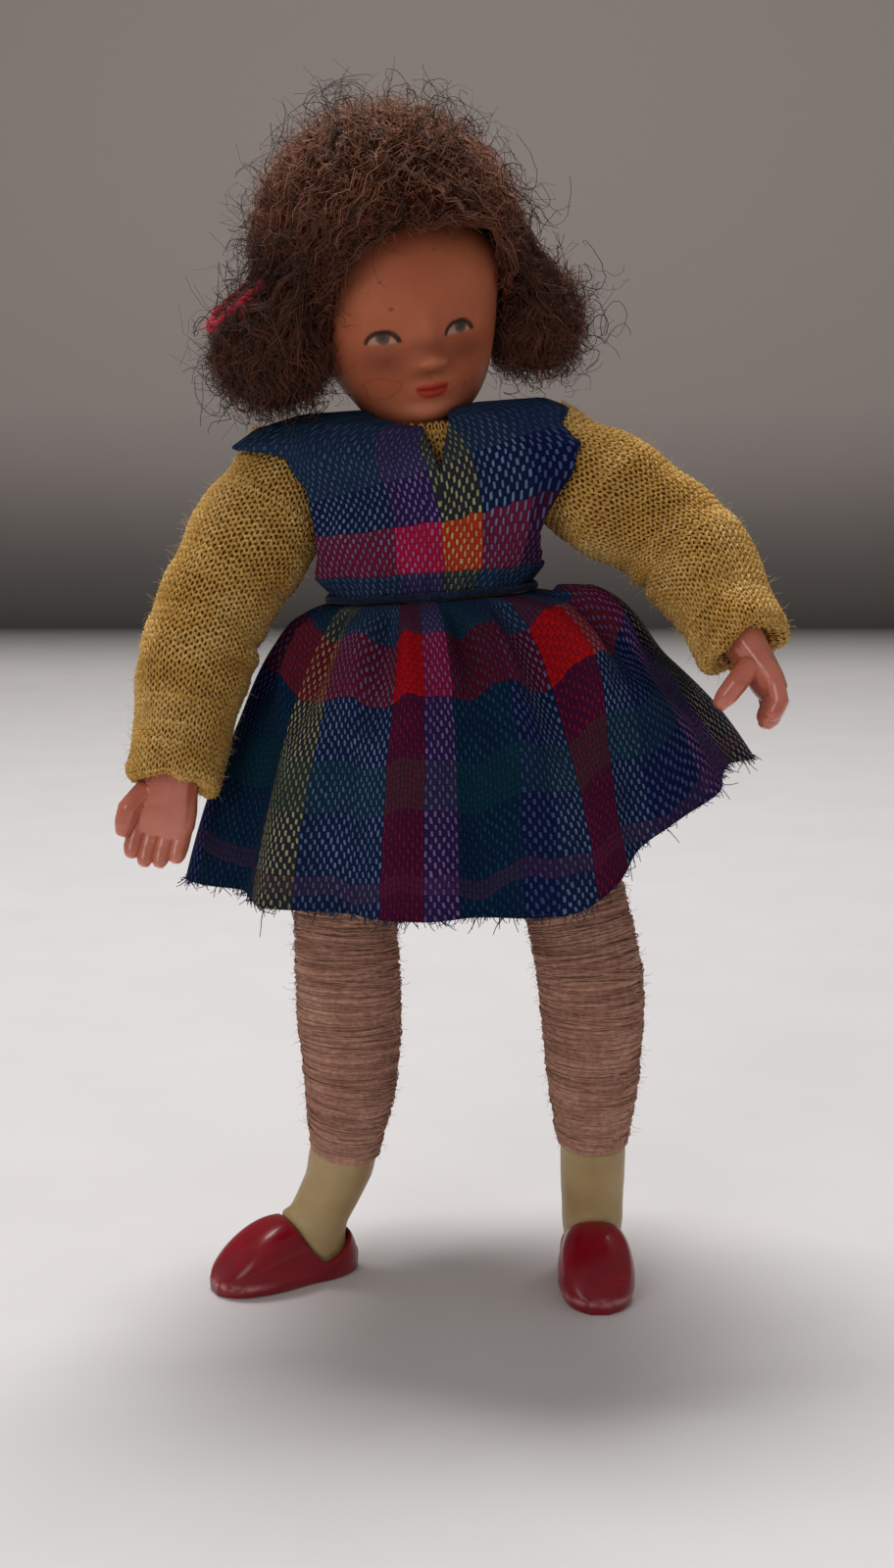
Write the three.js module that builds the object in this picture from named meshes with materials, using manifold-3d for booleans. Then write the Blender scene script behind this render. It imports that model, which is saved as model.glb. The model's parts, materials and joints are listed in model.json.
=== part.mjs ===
// Miniature bendable doll of a girl: a wire armature wound with yarn, a moulded head with a mohair wig,
// moulded hands and feet, a jersey jumper and a gathered pinafore dress.
// Millimetres, +Z up. The doll stands on the plane Z = 0 and faces -Y, so its left side is +X.
import * as THREE from 'three';
import { mergeVertices } from 'three/addons/utils/BufferGeometryUtils.js';
import Module from 'manifold-3d';

const wasm = await Module();
wasm.setup();

// Driving dimensions
const CLEARANCE = 0.3;
const WIRE_RADIUS = 0.5;
const JERSEY_WALL = 0.6;
const DRESS_WALL = 0.6;
const SHOE_WALL = 0.5;
const SOLE_THICKNESS = 0.8;

// Trunk, in its own frame: origin at the middle of the waist seam, rolled a little towards the doll's right
const WAIST = new THREE.Vector3(-1.3, 0, 56.1);
const TRUNK_ROLL = -4;
const SHOULDER_HALF_SPAN = 10.9;
const SHOULDER_RISE = 8.85;
const NECK_RISE = 13.4;
const NECK_BACK = 2.2;
const ARM_WIRE_BACK = 0.55;
const PELVIS_PIVOT = new THREE.Vector3(-0.7, 0, 49.6);

// Bodice: half-widths and half-depths at heights above the waist seam
const WAIST_HALF_WIDTH = 8.0;
const WAIST_HALF_DEPTH = 6.0;
const CHEST_HALF_WIDTH = 10.6;
const CHEST_HALF_DEPTH = 7.2;
const CHEST_RISE = 5;
const WING_HALF_WIDTH = 14.7;
const LEFT_STRAP_HALF_WIDTH = 12.0;
const LEFT_CHEST_FLARE = 2.5;
const WING_RISE = 12.2;
const BODICE_RISE = 14.3;
const NECKLINE_RADIUS = 4.7;
const NECKLINE_CENTRE_BACK = 0.6;
const SLIT_WIDTH = 3.4;
const SLIT_CENTRE = 1.3;
const SLIT_DEPTH = 5.4;
const ARMHOLE_HALF_DEPTH = 5.3;
const ARMHOLE_TOPS = { right: 12.0, left: 13.3 };
const ARMHOLE_ARCHES = { right: 1.2, left: 5.3 };

// Jumper body under the dress
const JUMPER_HALF_WIDTH = 7.4;
const JUMPER_HALF_DEPTH = 4.9;
const ARMPIT_HALF_WIDTH = 5.7;

// Skirt: a gathered bell whose hem rises at the doll's left side
const HEM_LOW = 34.2;
const HEM_LIFT = 9.3;
const HEM_LIFT_FULL = 20;
const HEM_LIFT_NONE = 82;
const HEM_HALF_WIDTH = 21.2;
const HEM_HALF_DEPTH = 18.0;
const HEM_CENTRE_X = 1.8;
const HEM_CENTRE_Y = -0.3;
const SKIRT_BELLY = 0.55;
const FOLD_COUNT = 11;
const FOLD_DEPTH = 0.75;
const PUFF_RISE = 1.5;
const PUFF_ANGLE = -12;
const PUFF_SPREAD = 24;

// Arms: the wire's route, shoulder to wrist, and the sizes of winding and sleeve
const RIGHT_ELBOW = new THREE.Vector3(-18.4, -4.0, 53.7);
const RIGHT_WRIST = new THREE.Vector3(-20.5, -7.8, 43.4);
const LEFT_ELBOW = new THREE.Vector3(17.9, -3, 59.7);
const LEFT_WRIST = new THREE.Vector3(21.6, -8.0, 53.4);
const SLEEVE_SHOULDER_RADIUS = 4.2;
const SLEEVE_UPPER_RADIUS = 4.9;
const SLEEVE_ELBOW_RADIUS = 4.3;
const SLEEVE_CUFF_RADIUS = 3.65;
const SLEEVE_OVERHANG = 1.1;
const ARM_WINDING_RADIUS = 3.3;
const ARM_WINDING_WRIST_RADIUS = 2.5;
const CREASE_DEPTH = 0.22;

// Moulded hands: palm from the wrist to the knuckles, four fingers and a thumb
const PALM_LENGTH = 5.0;
const PALM_HALF_WIDTH = 2.35;
const PALM_HALF_DEPTH = 1.45;
const FINGER_LENGTHS = [2.7, 3.1, 2.9, 2.3];
const FINGER_RADIUS = 0.58;
const FINGER_PITCH = 1.1;
const THUMB_RADIUS = 0.68;
const RIGHT_FINGER_CURL = 22;
const LEFT_FINGER_CURL = 62;

// Hips: heights of the wound saddle under and over the pelvis pivot
const SADDLE_DEPTH = 5.8;
const SADDLE_RISE = 2.4;
const SADDLE_HALF_WIDTH = 6.9;
const SADDLE_HALF_DEPTH = 4.6;

// Legs: the wire's route, hip to ankle, and the thickness of the winding on it
const RIGHT_LEG = [
  new THREE.Vector3(-6.7, 0, 45.6),
  new THREE.Vector3(-8.1, -0.7, 32.5),
  new THREE.Vector3(-8.0, -1.0, 24.6),
  new THREE.Vector3(-7.9, -0.5, 17.0),
  new THREE.Vector3(-8.5, 0.6, 10.3),
];
const LEFT_LEG = [
  new THREE.Vector3(5.7, 0, 45.6),
  new THREE.Vector3(9.8, -0.7, 32.5),
  new THREE.Vector3(11.3, -1.0, 25.8),
  new THREE.Vector3(11.7, -0.4, 18.0),
  new THREE.Vector3(11.9, 1.2, 10.3),
];
const THIGH_RADIUS = 4.1;
const KNEE_RADIUS = 4.2;
const CALF_RADIUS = 3.6;
const ANKLE_RADIUS = 2.75;
const ANKLE_GAP = 1.5;

// Feet and slip-on shoes, in a frame with the heel's centre over the origin and the toe at -Y
const RIGHT_FOOT_TURN = -62;
const LEFT_FOOT_TURN = 0;
const RIGHT_HEEL_OUT = 2.3;
const LEFT_HEEL_OUT = 0;
const SHOE_TOE = 9.2;
const SHOE_HEEL = 3.4;
const SHOE_HALF_WIDTH = 3.0;
const SHOE_INSTEP = 5.3;
const SHOE_HEEL_HEIGHT = 4.4;
const VAMP_EDGE = 2.9;
const SIDE_DIP = 1.7;
const SOCK_HALF_WIDTH = 2.35;
const SOCK_HALF_DEPTH = 2.6;
const SOCK_CUFF_DEPTH = 1.8;
const SOCK_SHAFT_DEPTH = 3.8;

// Head, in its own frame: origin at its middle, face towards -Y
const HEAD_CENTRE = new THREE.Vector3(-3.6, 0.5, 77.6);
const HEAD_TURN = 15;
const HEAD_NOD = 15.5;
const HEAD_TILT = -10.5;
const HEAD_HALF_WIDTH = 7.1;
const HEAD_HALF_DEPTH = 7.4;
const HEAD_HALF_HEIGHT = 8.6;
const JAW_TAPER = 0.14;
const HEAD_WALL = 1.2;
const NECK_HOLE_RADIUS = 2.2;
const NECK_RADIUS = 3.0;
const NECK_LENGTH = 1.7;

// Relief of the face: places and sizes of its features
const NOSE_TIP_Z = -2.3;
const NOSE_BRIDGE_Z = -0.6;
const NOSE_RELIEF = 1.15;
const CHEEK_X = 3.6;
const CHEEK_Z = -3.4;
const CHEEK_HALF_WIDTH = 2.0;
const CHEEK_RELIEF = 0.75;
const EYE_X = 2.8;
const EYE_Z = -0.5;
const EYE_HALF_WIDTH = 1.5;
const EYE_HOLLOW = 0.45;
const MOUTH_Z = -4.3;
const LIP_RELIEF = 0.5;
const CHIN_Z = -6.8;
const CHIN_HALF_WIDTH = 2.0;
const CHIN_RELIEF = 0.75;
const BROW_Z = 3.4;
const BROW_RELIEF = 0.35;

// Wig of loose mohair: a cap round the head and two side bunches
const CAP_CENTRE = new THREE.Vector3(0, 1.8, 4.2);
const CAP_HALF_WIDTH = 10.4;
const CAP_HALF_DEPTH = 10.0;
const CAP_HALF_HEIGHT = 10.7;
const FACE_HALF_WIDTH = 6.5;
const FACE_HALF_HEIGHT = 8.4;
const FACE_CENTRE_Z = -1.6;
const NAPE_LINE = -6.2;
const RIGHT_BUNCH = new THREE.Vector3(-10.4, -0.6, -1.25);
const RIGHT_BUNCH_SIZE = new THREE.Vector3(4.9, 4.8, 4.8);
const LEFT_BUNCH = new THREE.Vector3(10.6, -0.4, -2.4);
const LEFT_BUNCH_SIZE = new THREE.Vector3(3.9, 4.0, 4.4);
const TIE_DIRECTION = new THREE.Vector3(-0.45, 0.05, 0.89).normalize();
const TIE_HEIGHT = 4.0;
const TIE_RING_RADIUS = 2.6;
const TIE_YARN_RADIUS = 0.55;

// Fineness of the faceted forms
const WIRE_SIDES = 8;
const BORE_SIDES = 6;
const WINDING_SIDES = 12;
const SLEEVE_SIDES = 12;
const TRUNK_SIDES = 16;
const SKIRT_SEGMENTS = 60;
const SKIRT_ROWS = 5;
const SKIRT_ROW_SPREAD = 1.5;
const MERGE_TOLERANCE = 1e-4;

const X_AXIS = new THREE.Vector3(1, 0, 0);
const Y_AXIS = new THREE.Vector3(0, 1, 0);
const Z_AXIS = new THREE.Vector3(0, 0, 1);
const radians = THREE.MathUtils.degToRad;
const smooth = THREE.MathUtils.smoothstep;

// Materials
function finish(colour, roughness, metalness = 0) {
  return new THREE.MeshStandardMaterial({ color: colour, roughness, metalness });
}
const steelWire = () => finish(0x8d8b86, 0.45, 0.9);
const fleshYarn = () => finish(0x96786a, 0.95);
const cottonPadding = () => finish(0xb9ac98, 0.97);
const mustardJersey = () => finish(0xb98f45, 0.95);
const navyPlaid = () => finish(0x37405c, 0.9);
const maroonPlaid = () => finish(0x6b2a3a, 0.9);
const fleshPlastic = () => finish(0xc9745a, 0.38);
const paintedFace = () => finish(0xc98d6c, 0.45);
const cork = () => finish(0xa9835a, 0.9);
const brownMohair = () => finish(0x3a2318, 0.85);
const redYarn = () => finish(0xc23a4c, 0.9);
const creamSock = () => finish(0xc3b58f, 0.5);
const crimsonPlastic = () => finish(0x9a1328, 0.28);

// A closed geometry whose shared vertices are joined and then moved by place
function mould(geometry, place) {
  geometry.deleteAttribute('normal');
  geometry.deleteAttribute('uv');
  const merged = mergeVertices(geometry, MERGE_TOLERANCE);
  const { position } = merged.attributes;
  const point = new THREE.Vector3();
  for (let i = 0; i < position.count; i += 1) {
    point.fromBufferAttribute(position, i);
    const moved = place(point);
    position.setXYZ(i, moved.x, moved.y, moved.z);
  }
  return merged;
}

function toSolid(geometry) {
  return new wasm.Manifold(new wasm.Mesh({
    numProp: 3,
    vertProperties: new Float32Array(geometry.attributes.position.array),
    triVerts: new Uint32Array(geometry.index.array),
  }));
}

function toGeometry(solid) {
  const mesh = solid.getMesh();
  const geometry = new THREE.BufferGeometry();
  geometry.setAttribute('position', new THREE.BufferAttribute(mesh.vertProperties, mesh.numProp));
  geometry.setIndex(new THREE.BufferAttribute(mesh.triVerts, 1));
  return geometry;
}

function named(name, solid, material) {
  const geometry = toGeometry(solid);
  geometry.computeVertexNormals();
  const mesh = new THREE.Mesh(geometry, material);
  mesh.name = name;
  return mesh;
}

// Solid block between two corners
function block(low, high) {
  const size = high.clone().sub(low);
  const middle = high.clone().add(low).multiplyScalar(0.5);
  return toSolid(mould(new THREE.BoxGeometry(size.x, size.y, size.z), (p) => p.add(middle)));
}

// Ellipsoid with half-sizes along its own axes
function ellipsoid(centre, halfSizes, segments, rings) {
  const ball = new THREE.SphereGeometry(1, segments, rings);
  ball.rotateX(Math.PI / 2);
  return toSolid(mould(ball, (p) => p.multiply(halfSizes).add(centre)));
}

const ball = (centre, radius, segments, rings) => (
  ellipsoid(centre, new THREE.Vector3(radius, radius, radius), segments, rings)
);

const power = (value, exponent) => Math.sign(value) * Math.abs(value) ** exponent;

// Solid skinned over sections, each with a centre, two half-sizes and an optional ripple of its outline
function sweep(sides, sections, squareness = 2) {
  const rows = sections.length - 1;
  const rod = new THREE.CylinderGeometry(1, 1, 1, sides, rows);
  return toSolid(mould(rod, (p) => {
    const section = sections[Math.round((p.y + 0.5) * rows)];
    const angle = Math.atan2(p.z, p.x);
    const reach = Math.hypot(p.x, p.z) * (1 + (section.ripple ? section.ripple(angle) : 0));
    const across = section.a * reach * power(Math.cos(angle), 2 / squareness);
    const through = section.b * reach * power(Math.sin(angle), 2 / squareness);
    return section.centre.clone()
      .addScaledVector(section.side, across)
      .addScaledVector(section.other, through);
  }));
}

// Horizontal section for a sweep that goes up: height, half-width, half-depth and centre
function level(z, a, b, x = 0, y = 0) {
  return { centre: new THREE.Vector3(x, y, z), side: X_AXIS, other: Y_AXIS.clone().negate(), a, b };
}

// Smooth route through joints, with the distance along it at which each control point lies
function route(points) {
  const curve = new THREE.CatmullRomCurve3(points, false, 'centripetal');
  const stepsPerSpan = 40;
  const lengths = curve.getLengths(stepsPerSpan * (points.length - 1));
  const length = lengths[lengths.length - 1];
  const stops = points.map((_, i) => lengths[i * stepsPerSpan]);
  const at = (s) => {
    const inside = THREE.MathUtils.clamp(s / length, 0, 1);
    const tangent = curve.getTangentAt(inside);
    return { point: curve.getPointAt(inside).addScaledVector(tangent, s - inside * length), tangent };
  };
  return { at, stops, length };
}

// Round sections along a route, from pairs of distance and radius
function along(path, stations) {
  return stations.map(([s, radius, ripple]) => {
    const { point, tangent } = path.at(s);
    const side = X_AXIS.clone().addScaledVector(tangent, -X_AXIS.dot(tangent)).normalize();
    const other = side.clone().cross(tangent);
    return { centre: point, side, other, a: radius, b: radius, ripple };
  });
}

// Stations of a rounded end, from the tip towards the full radius; direction is -1 at a start and 1 at an end
function roundedEnd(s, radius, direction, flatness = 1) {
  const tilts = [70, 40, 0];
  const stations = tilts.map((tilt) => [
    s + direction * flatness * radius * Math.sin(radians(tilt)),
    radius * Math.cos(radians(tilt)),
  ]);
  return direction < 0 ? stations : stations.reverse();
}

// Wire or bore: a round section drawn along points
function wire(points, radius, steps) {
  const section = new THREE.Shape();
  section.absarc(0, 0, radius, 0, 2 * Math.PI);
  const path = points.length > 2
    ? new THREE.CatmullRomCurve3(points, false, 'centripetal')
    : new THREE.LineCurve3(points[0], points[1]);
  const tube = new THREE.ExtrudeGeometry(section, {
    steps, curveSegments: WIRE_SIDES / 2, extrudePath: path,
  });
  return toSolid(mould(tube, (p) => p));
}

// Wire or bore that follows a route, flat or rounded at each end
function rod(path, from, to, radius, steps, roundStart = false, roundEnd = false, sides = WIRE_SIDES) {
  const stations = [];
  for (let i = 0; i <= steps; i += 1) {
    stations.push([from + ((to - from) * i) / steps, radius]);
  }
  const start = roundStart ? roundedEnd(from, radius, -1).slice(0, -1) : [];
  const end = roundEnd ? roundedEnd(to, radius, 1).slice(1) : [];
  return sweep(sides, along(path, [...start, ...stations, ...end]));
}

// A joint of the armature is a bead of the wire's own radius at the pivot, with the next wire a step away
const WIRE_STEP = 2 * WIRE_RADIUS + CLEARANCE;
const BORE_RADIUS = (WIRE_RADIUS + CLEARANCE) / Math.cos(Math.PI / BORE_SIDES);
const bead = (centre) => ball(centre, WIRE_RADIUS, WIRE_SIDES, WIRE_SIDES - 2);
const seat = (centre) => ball(centre, BORE_RADIUS, BORE_SIDES, 4);

const trunkFrame = new THREE.Matrix4().compose(
  WAIST,
  new THREE.Quaternion().setFromAxisAngle(Y_AXIS, radians(TRUNK_ROLL)),
  new THREE.Vector3(1, 1, 1),
);
const intoTrunk = trunkFrame.clone().invert();
const shoulderInTrunk = (side) => new THREE.Vector3(side * SHOULDER_HALF_SPAN, 0, SHOULDER_RISE);
const NECK_IN_TRUNK = new THREE.Vector3(0, NECK_BACK, NECK_RISE);
const NECK_PIVOT = NECK_IN_TRUNK.clone().applyMatrix4(trunkFrame);

const headFrame = new THREE.Matrix4().compose(
  HEAD_CENTRE,
  new THREE.Quaternion().setFromEuler(
    new THREE.Euler(radians(HEAD_NOD), radians(HEAD_TILT), radians(HEAD_TURN), 'YZX'),
  ),
  new THREE.Vector3(1, 1, 1),
);
const NECK_IN_HEAD = NECK_PIVOT.clone().applyMatrix4(headFrame.clone().invert());

const trunk = new THREE.Group();
trunk.applyMatrix4(trunkFrame);
const head = new THREE.Group();
head.applyMatrix4(headFrame);
const doll = new THREE.Group();
doll.add(trunk, head);

// Trunk sections, shared by the bodice, the jumper and the padding
function bodiceSections(inset) {
  const ribs = (WAIST_HALF_WIDTH + CHEST_HALF_WIDTH) / 2;
  const leftBust = CHEST_HALF_WIDTH + 0.9 + LEFT_CHEST_FLARE;
  const rows = [
    [0, WAIST_HALF_WIDTH, WAIST_HALF_WIDTH, WAIST_HALF_DEPTH],
    [2.2, ribs, ribs, CHEST_HALF_DEPTH - 0.3],
    [CHEST_RISE, CHEST_HALF_WIDTH, CHEST_HALF_WIDTH + 0.3, CHEST_HALF_DEPTH],
    [CHEST_RISE + 3.4, CHEST_HALF_WIDTH + 0.9, leftBust, CHEST_HALF_DEPTH - 0.2],
    [WING_RISE - 1.6, WING_HALF_WIDTH - 0.9, leftBust + 0.4, CHEST_HALF_DEPTH - 0.5],
    [WING_RISE, WING_HALF_WIDTH, LEFT_STRAP_HALF_WIDTH, CHEST_HALF_DEPTH - 1.3],
    [WING_RISE + 1.3, WING_HALF_WIDTH - 2.2, LEFT_STRAP_HALF_WIDTH - 0.4, CHEST_HALF_DEPTH - 2.4],
    [BODICE_RISE - inset, WING_HALF_WIDTH - 5.7, LEFT_STRAP_HALF_WIDTH - 2.2, CHEST_HALF_DEPTH - 4.4],
  ];
  return rows.map(([z, right, left, b]) => (
    level(z, (right + left) / 2 - inset, b - inset, (left - right) / 2)
  ));
}

function jumperSections(inset, drop) {
  const rows = [
    [-drop, JUMPER_HALF_WIDTH - 0.7, JUMPER_HALF_DEPTH - 0.2],
    [2.6, JUMPER_HALF_WIDTH, JUMPER_HALF_DEPTH],
    [4.8, JUMPER_HALF_WIDTH - 0.9, JUMPER_HALF_DEPTH],
    [7.0, ARMPIT_HALF_WIDTH + 0.2, JUMPER_HALF_DEPTH - 0.2],
    [SHOULDER_RISE, ARMPIT_HALF_WIDTH, JUMPER_HALF_DEPTH - 0.5],
    [WING_RISE - 1.2, ARMPIT_HALF_WIDTH, JUMPER_HALF_DEPTH - 1.5],
    [WING_RISE, ARMPIT_HALF_WIDTH - 0.9, JUMPER_HALF_DEPTH - 2.2],
  ];
  return rows.map(([z, a, b]) => level(z, a - inset, b - inset, 0, 0.2));
}

function bodice() {
  const outer = sweep(24, bodiceSections(0), 2.8);
  const lining = bodiceSections(DRESS_WALL);
  lining.unshift(level(-2, WAIST_HALF_WIDTH - DRESS_WALL, WAIST_HALF_DEPTH - DRESS_WALL));
  const neckline = wire([
    new THREE.Vector3(0, NECKLINE_CENTRE_BACK, WING_RISE - 3),
    new THREE.Vector3(0, NECKLINE_CENTRE_BACK, BODICE_RISE + 3),
  ], NECKLINE_RADIUS, 1);
  return outer.subtract(sweep(24, lining, 2.8)).subtract(neckline).subtract(neckSlit())
    .subtract(armhole('right')).subtract(armhole('left'));
}

// V at the front of the neck, as wide as the slit's width at the top edge of the bodice
function neckSlit() {
  const outline = new THREE.Shape();
  outline.moveTo(SLIT_CENTRE, BODICE_RISE - SLIT_DEPTH);
  outline.lineTo(SLIT_CENTRE + SLIT_WIDTH, BODICE_RISE + SLIT_DEPTH);
  outline.lineTo(SLIT_CENTRE - SLIT_WIDTH, BODICE_RISE + SLIT_DEPTH);
  outline.closePath();
  const depth = CHEST_HALF_DEPTH + 2;
  const cutter = new THREE.ExtrudeGeometry(outline, { depth, bevelEnabled: false });
  return toSolid(mould(cutter, (p) => new THREE.Vector3(p.x, -p.z, p.y)));
}

// Opening at the side of the bodice, from just above the waist seam to the arch over the shoulder
function armhole(word) {
  const bottom = 1.7;
  const spring = ARMHOLE_TOPS[word] - ARMHOLE_ARCHES[word];
  const outline = new THREE.Shape();
  outline.moveTo(-ARMHOLE_HALF_DEPTH, spring);
  outline.lineTo(-ARMHOLE_HALF_DEPTH, bottom + 3.6);
  outline.quadraticCurveTo(-ARMHOLE_HALF_DEPTH + 0.4, bottom, 0, bottom);
  outline.quadraticCurveTo(ARMHOLE_HALF_DEPTH - 0.4, bottom, ARMHOLE_HALF_DEPTH, bottom + 3.6);
  outline.lineTo(ARMHOLE_HALF_DEPTH, spring);
  outline.absellipse(0, spring, ARMHOLE_HALF_DEPTH, ARMHOLE_ARCHES[word], 0, Math.PI);
  const depth = WING_HALF_WIDTH;
  const cutter = new THREE.ExtrudeGeometry(outline, { depth, bevelEnabled: false, curveSegments: 5 });
  const start = word === 'left' ? ARMPIT_HALF_WIDTH + 1 : -ARMPIT_HALF_WIDTH - 1 - depth;
  return toSolid(mould(cutter, (p) => new THREE.Vector3(start + p.z, p.x, p.y)));
}

function armatureCore(radius) {
  const foot = PELVIS_PIVOT.clone().applyMatrix4(intoTrunk);
  const spine = route([foot, new THREE.Vector3(0, 1.2, SHOULDER_RISE), NECK_IN_TRUNK]);
  const cross = wire([
    shoulderInTrunk(-1).add(new THREE.Vector3(WIRE_STEP, 0, 0)),
    new THREE.Vector3(0, ARM_WIRE_BACK, SHOULDER_RISE - 0.3),
    shoulderInTrunk(1).add(new THREE.Vector3(-WIRE_STEP, 0, 0)),
  ], radius, 6);
  return rod(spine, 0, spine.length, radius, 6, true, true).add(cross);
}

function jumperBody() {
  const outer = sweep(TRUNK_SIDES, jumperSections(0, 0.6), 2.4);
  const inner = jumperSections(JERSEY_WALL, 2);
  inner[inner.length - 1].centre.z += 1;
  return outer.subtract(sweep(TRUNK_SIDES, inner, 2.4)).subtract(armatureCore(WIRE_RADIUS + CLEARANCE));
}

function trunkPadding() {
  const wad = jumperSections(JERSEY_WALL + CLEARANCE, 3.2);
  return sweep(12, wad, 2.4).subtract(armatureCore(WIRE_RADIUS + CLEARANCE));
}

// Gathered skirt: a shell whose folds deepen from the waist seam to the hem
function skirtPoint(angle, t, inset) {
  const top = new THREE.Vector3(
    Math.cos(angle) * (WAIST_HALF_WIDTH + 0.1 - inset),
    Math.sin(angle) * (WAIST_HALF_DEPTH + 0.1 - inset),
    -CLEARANCE,
  ).applyMatrix4(trunkFrame);
  const fromLeft = THREE.MathUtils.radToDeg(Math.abs(Math.atan2(Math.sin(angle), Math.cos(angle))));
  const lift = HEM_LIFT * (1 - smooth(fromLeft, HEM_LIFT_FULL, HEM_LIFT_NONE));
  const hem = new THREE.Vector3(
    HEM_CENTRE_X + Math.cos(angle) * (HEM_HALF_WIDTH - inset),
    HEM_CENTRE_Y + Math.sin(angle) * (HEM_HALF_DEPTH - inset),
    HEM_LOW + lift,
  );
  const fall = new THREE.Vector3().lerpVectors(top, hem, t);
  const spread = t ** SKIRT_BELLY;
  fall.x = THREE.MathUtils.lerp(top.x, hem.x, spread);
  fall.y = THREE.MathUtils.lerp(top.y, hem.y, spread);
  const wave = Math.cos(FOLD_COUNT * angle + 0.7) + 0.45 * Math.cos((FOLD_COUNT - 4) * angle + 2.1);
  const depth = FOLD_DEPTH * wave * smooth(t, 0.02, 0.75);
  fall.x += Math.cos(angle) * depth;
  fall.y += Math.sin(angle) * depth;
  const fromPuff = (fromLeft * Math.sign(Math.sin(angle)) - PUFF_ANGLE) / PUFF_SPREAD;
  fall.z += PUFF_RISE * Math.exp(-(fromPuff ** 2)) * smooth(t, 0, 0.08) * (1 - smooth(t, 0.1, 0.4));
  return fall;
}

// Skin of the skirt; a lining runs past the waist and the hem by a margin, so that both stay open
function skirtSkin(inset, margin) {
  const extra = margin > 0 ? 1 : 0;
  const rows = SKIRT_ROWS + 2 * extra;
  const rod = new THREE.CylinderGeometry(1, 1, 1, SKIRT_SEGMENTS, rows);
  return toSolid(mould(rod, (p) => {
    const row = Math.round((0.5 - p.y) * rows);
    const step = THREE.MathUtils.clamp(row - extra, 0, SKIRT_ROWS);
    const edge = skirtPoint(Math.atan2(-p.z, p.x), (step / SKIRT_ROWS) ** SKIRT_ROW_SPREAD, inset);
    const over = row < extra ? margin : 0;
    const under = row > SKIRT_ROWS + extra ? margin : 0;
    edge.z += over - under;
    if (Math.hypot(p.x, p.z) > 0.5) {
      return edge;
    }
    const height = row > rows / 2 ? HEM_LOW + HEM_LIFT / 2 - under : WAIST.z - 1 + over;
    return new THREE.Vector3(HEM_CENTRE_X, HEM_CENTRE_Y, height);
  }));
}

function skirt() {
  return skirtSkin(0, 0).subtract(skirtSkin(DRESS_WALL, 1.2));
}

// Pelvis: the wire forks to both hips inside a wound saddle
const HIPS = { right: RIGHT_LEG[0], left: LEFT_LEG[0] };

function pelvisFork(radius) {
  const crotch = PELVIS_PIVOT.clone().add(new THREE.Vector3(0, 0, -WIRE_STEP));
  const ends = Object.values(HIPS).map((hip) => {
    const towards = crotch.clone().sub(hip).normalize();
    return hip.clone().addScaledVector(towards, WIRE_STEP);
  });
  return wire([ends[0], crotch, ends[1]], radius, 8);
}

function spineSeat() {
  const above = PELVIS_PIVOT.clone().add(new THREE.Vector3(0, 0.3, 4));
  return wire([PELVIS_PIVOT, above], WIRE_RADIUS + 2 * CLEARANCE, 1).add(seat(PELVIS_PIVOT));
}

function pelvisPadding() {
  const rows = [
    [-SADDLE_DEPTH, 0.19, 0.57],
    [-0.72 * SADDLE_DEPTH, 0.32, 0.78],
    [-0.38 * SADDLE_DEPTH, 0.96, 1],
    [-0.1 * SADDLE_DEPTH, 1, 1],
    [0.67 * SADDLE_RISE, 0.9, 0.93],
    [SADDLE_RISE, 0.72, 0.74],
  ];
  const saddle = sweep(12, rows.map(([z, a, b]) => (
    level(PELVIS_PIVOT.z + z, a * SADDLE_HALF_WIDTH, b * SADDLE_HALF_DEPTH, PELVIS_PIVOT.x)
  )), 2.2);
  return Object.values(HIPS).reduce(
    (shape, hip) => shape.subtract(ball(hip, THIGH_RADIUS + 2 * CLEARANCE, 10, 7)),
    saddle.subtract(pelvisFork(WIRE_RADIUS + CLEARANCE)).subtract(spineSeat()),
  );
}

// Arms
function armRoute(side) {
  const shoulder = shoulderInTrunk(side).applyMatrix4(trunkFrame);
  const elbow = side < 0 ? RIGHT_ELBOW : LEFT_ELBOW;
  const wrist = side < 0 ? RIGHT_WRIST : LEFT_WRIST;
  return route([shoulder, elbow, wrist]);
}

function windingAlong(path, stations, boreFrom, boreTo) {
  const wound = sweep(WINDING_SIDES, along(path, stations));
  return wound.subtract(rod(path, boreFrom, boreTo, BORE_RADIUS, 4, false, false, BORE_SIDES));
}

function crossWireSeat(side) {
  const shoulder = shoulderInTrunk(side);
  const inner = new THREE.Vector3(0, ARM_WIRE_BACK, SHOULDER_RISE - 0.3).applyMatrix4(trunkFrame);
  return wire([inner, shoulder.applyMatrix4(trunkFrame)], WIRE_RADIUS + CLEARANCE, 1);
}

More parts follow.
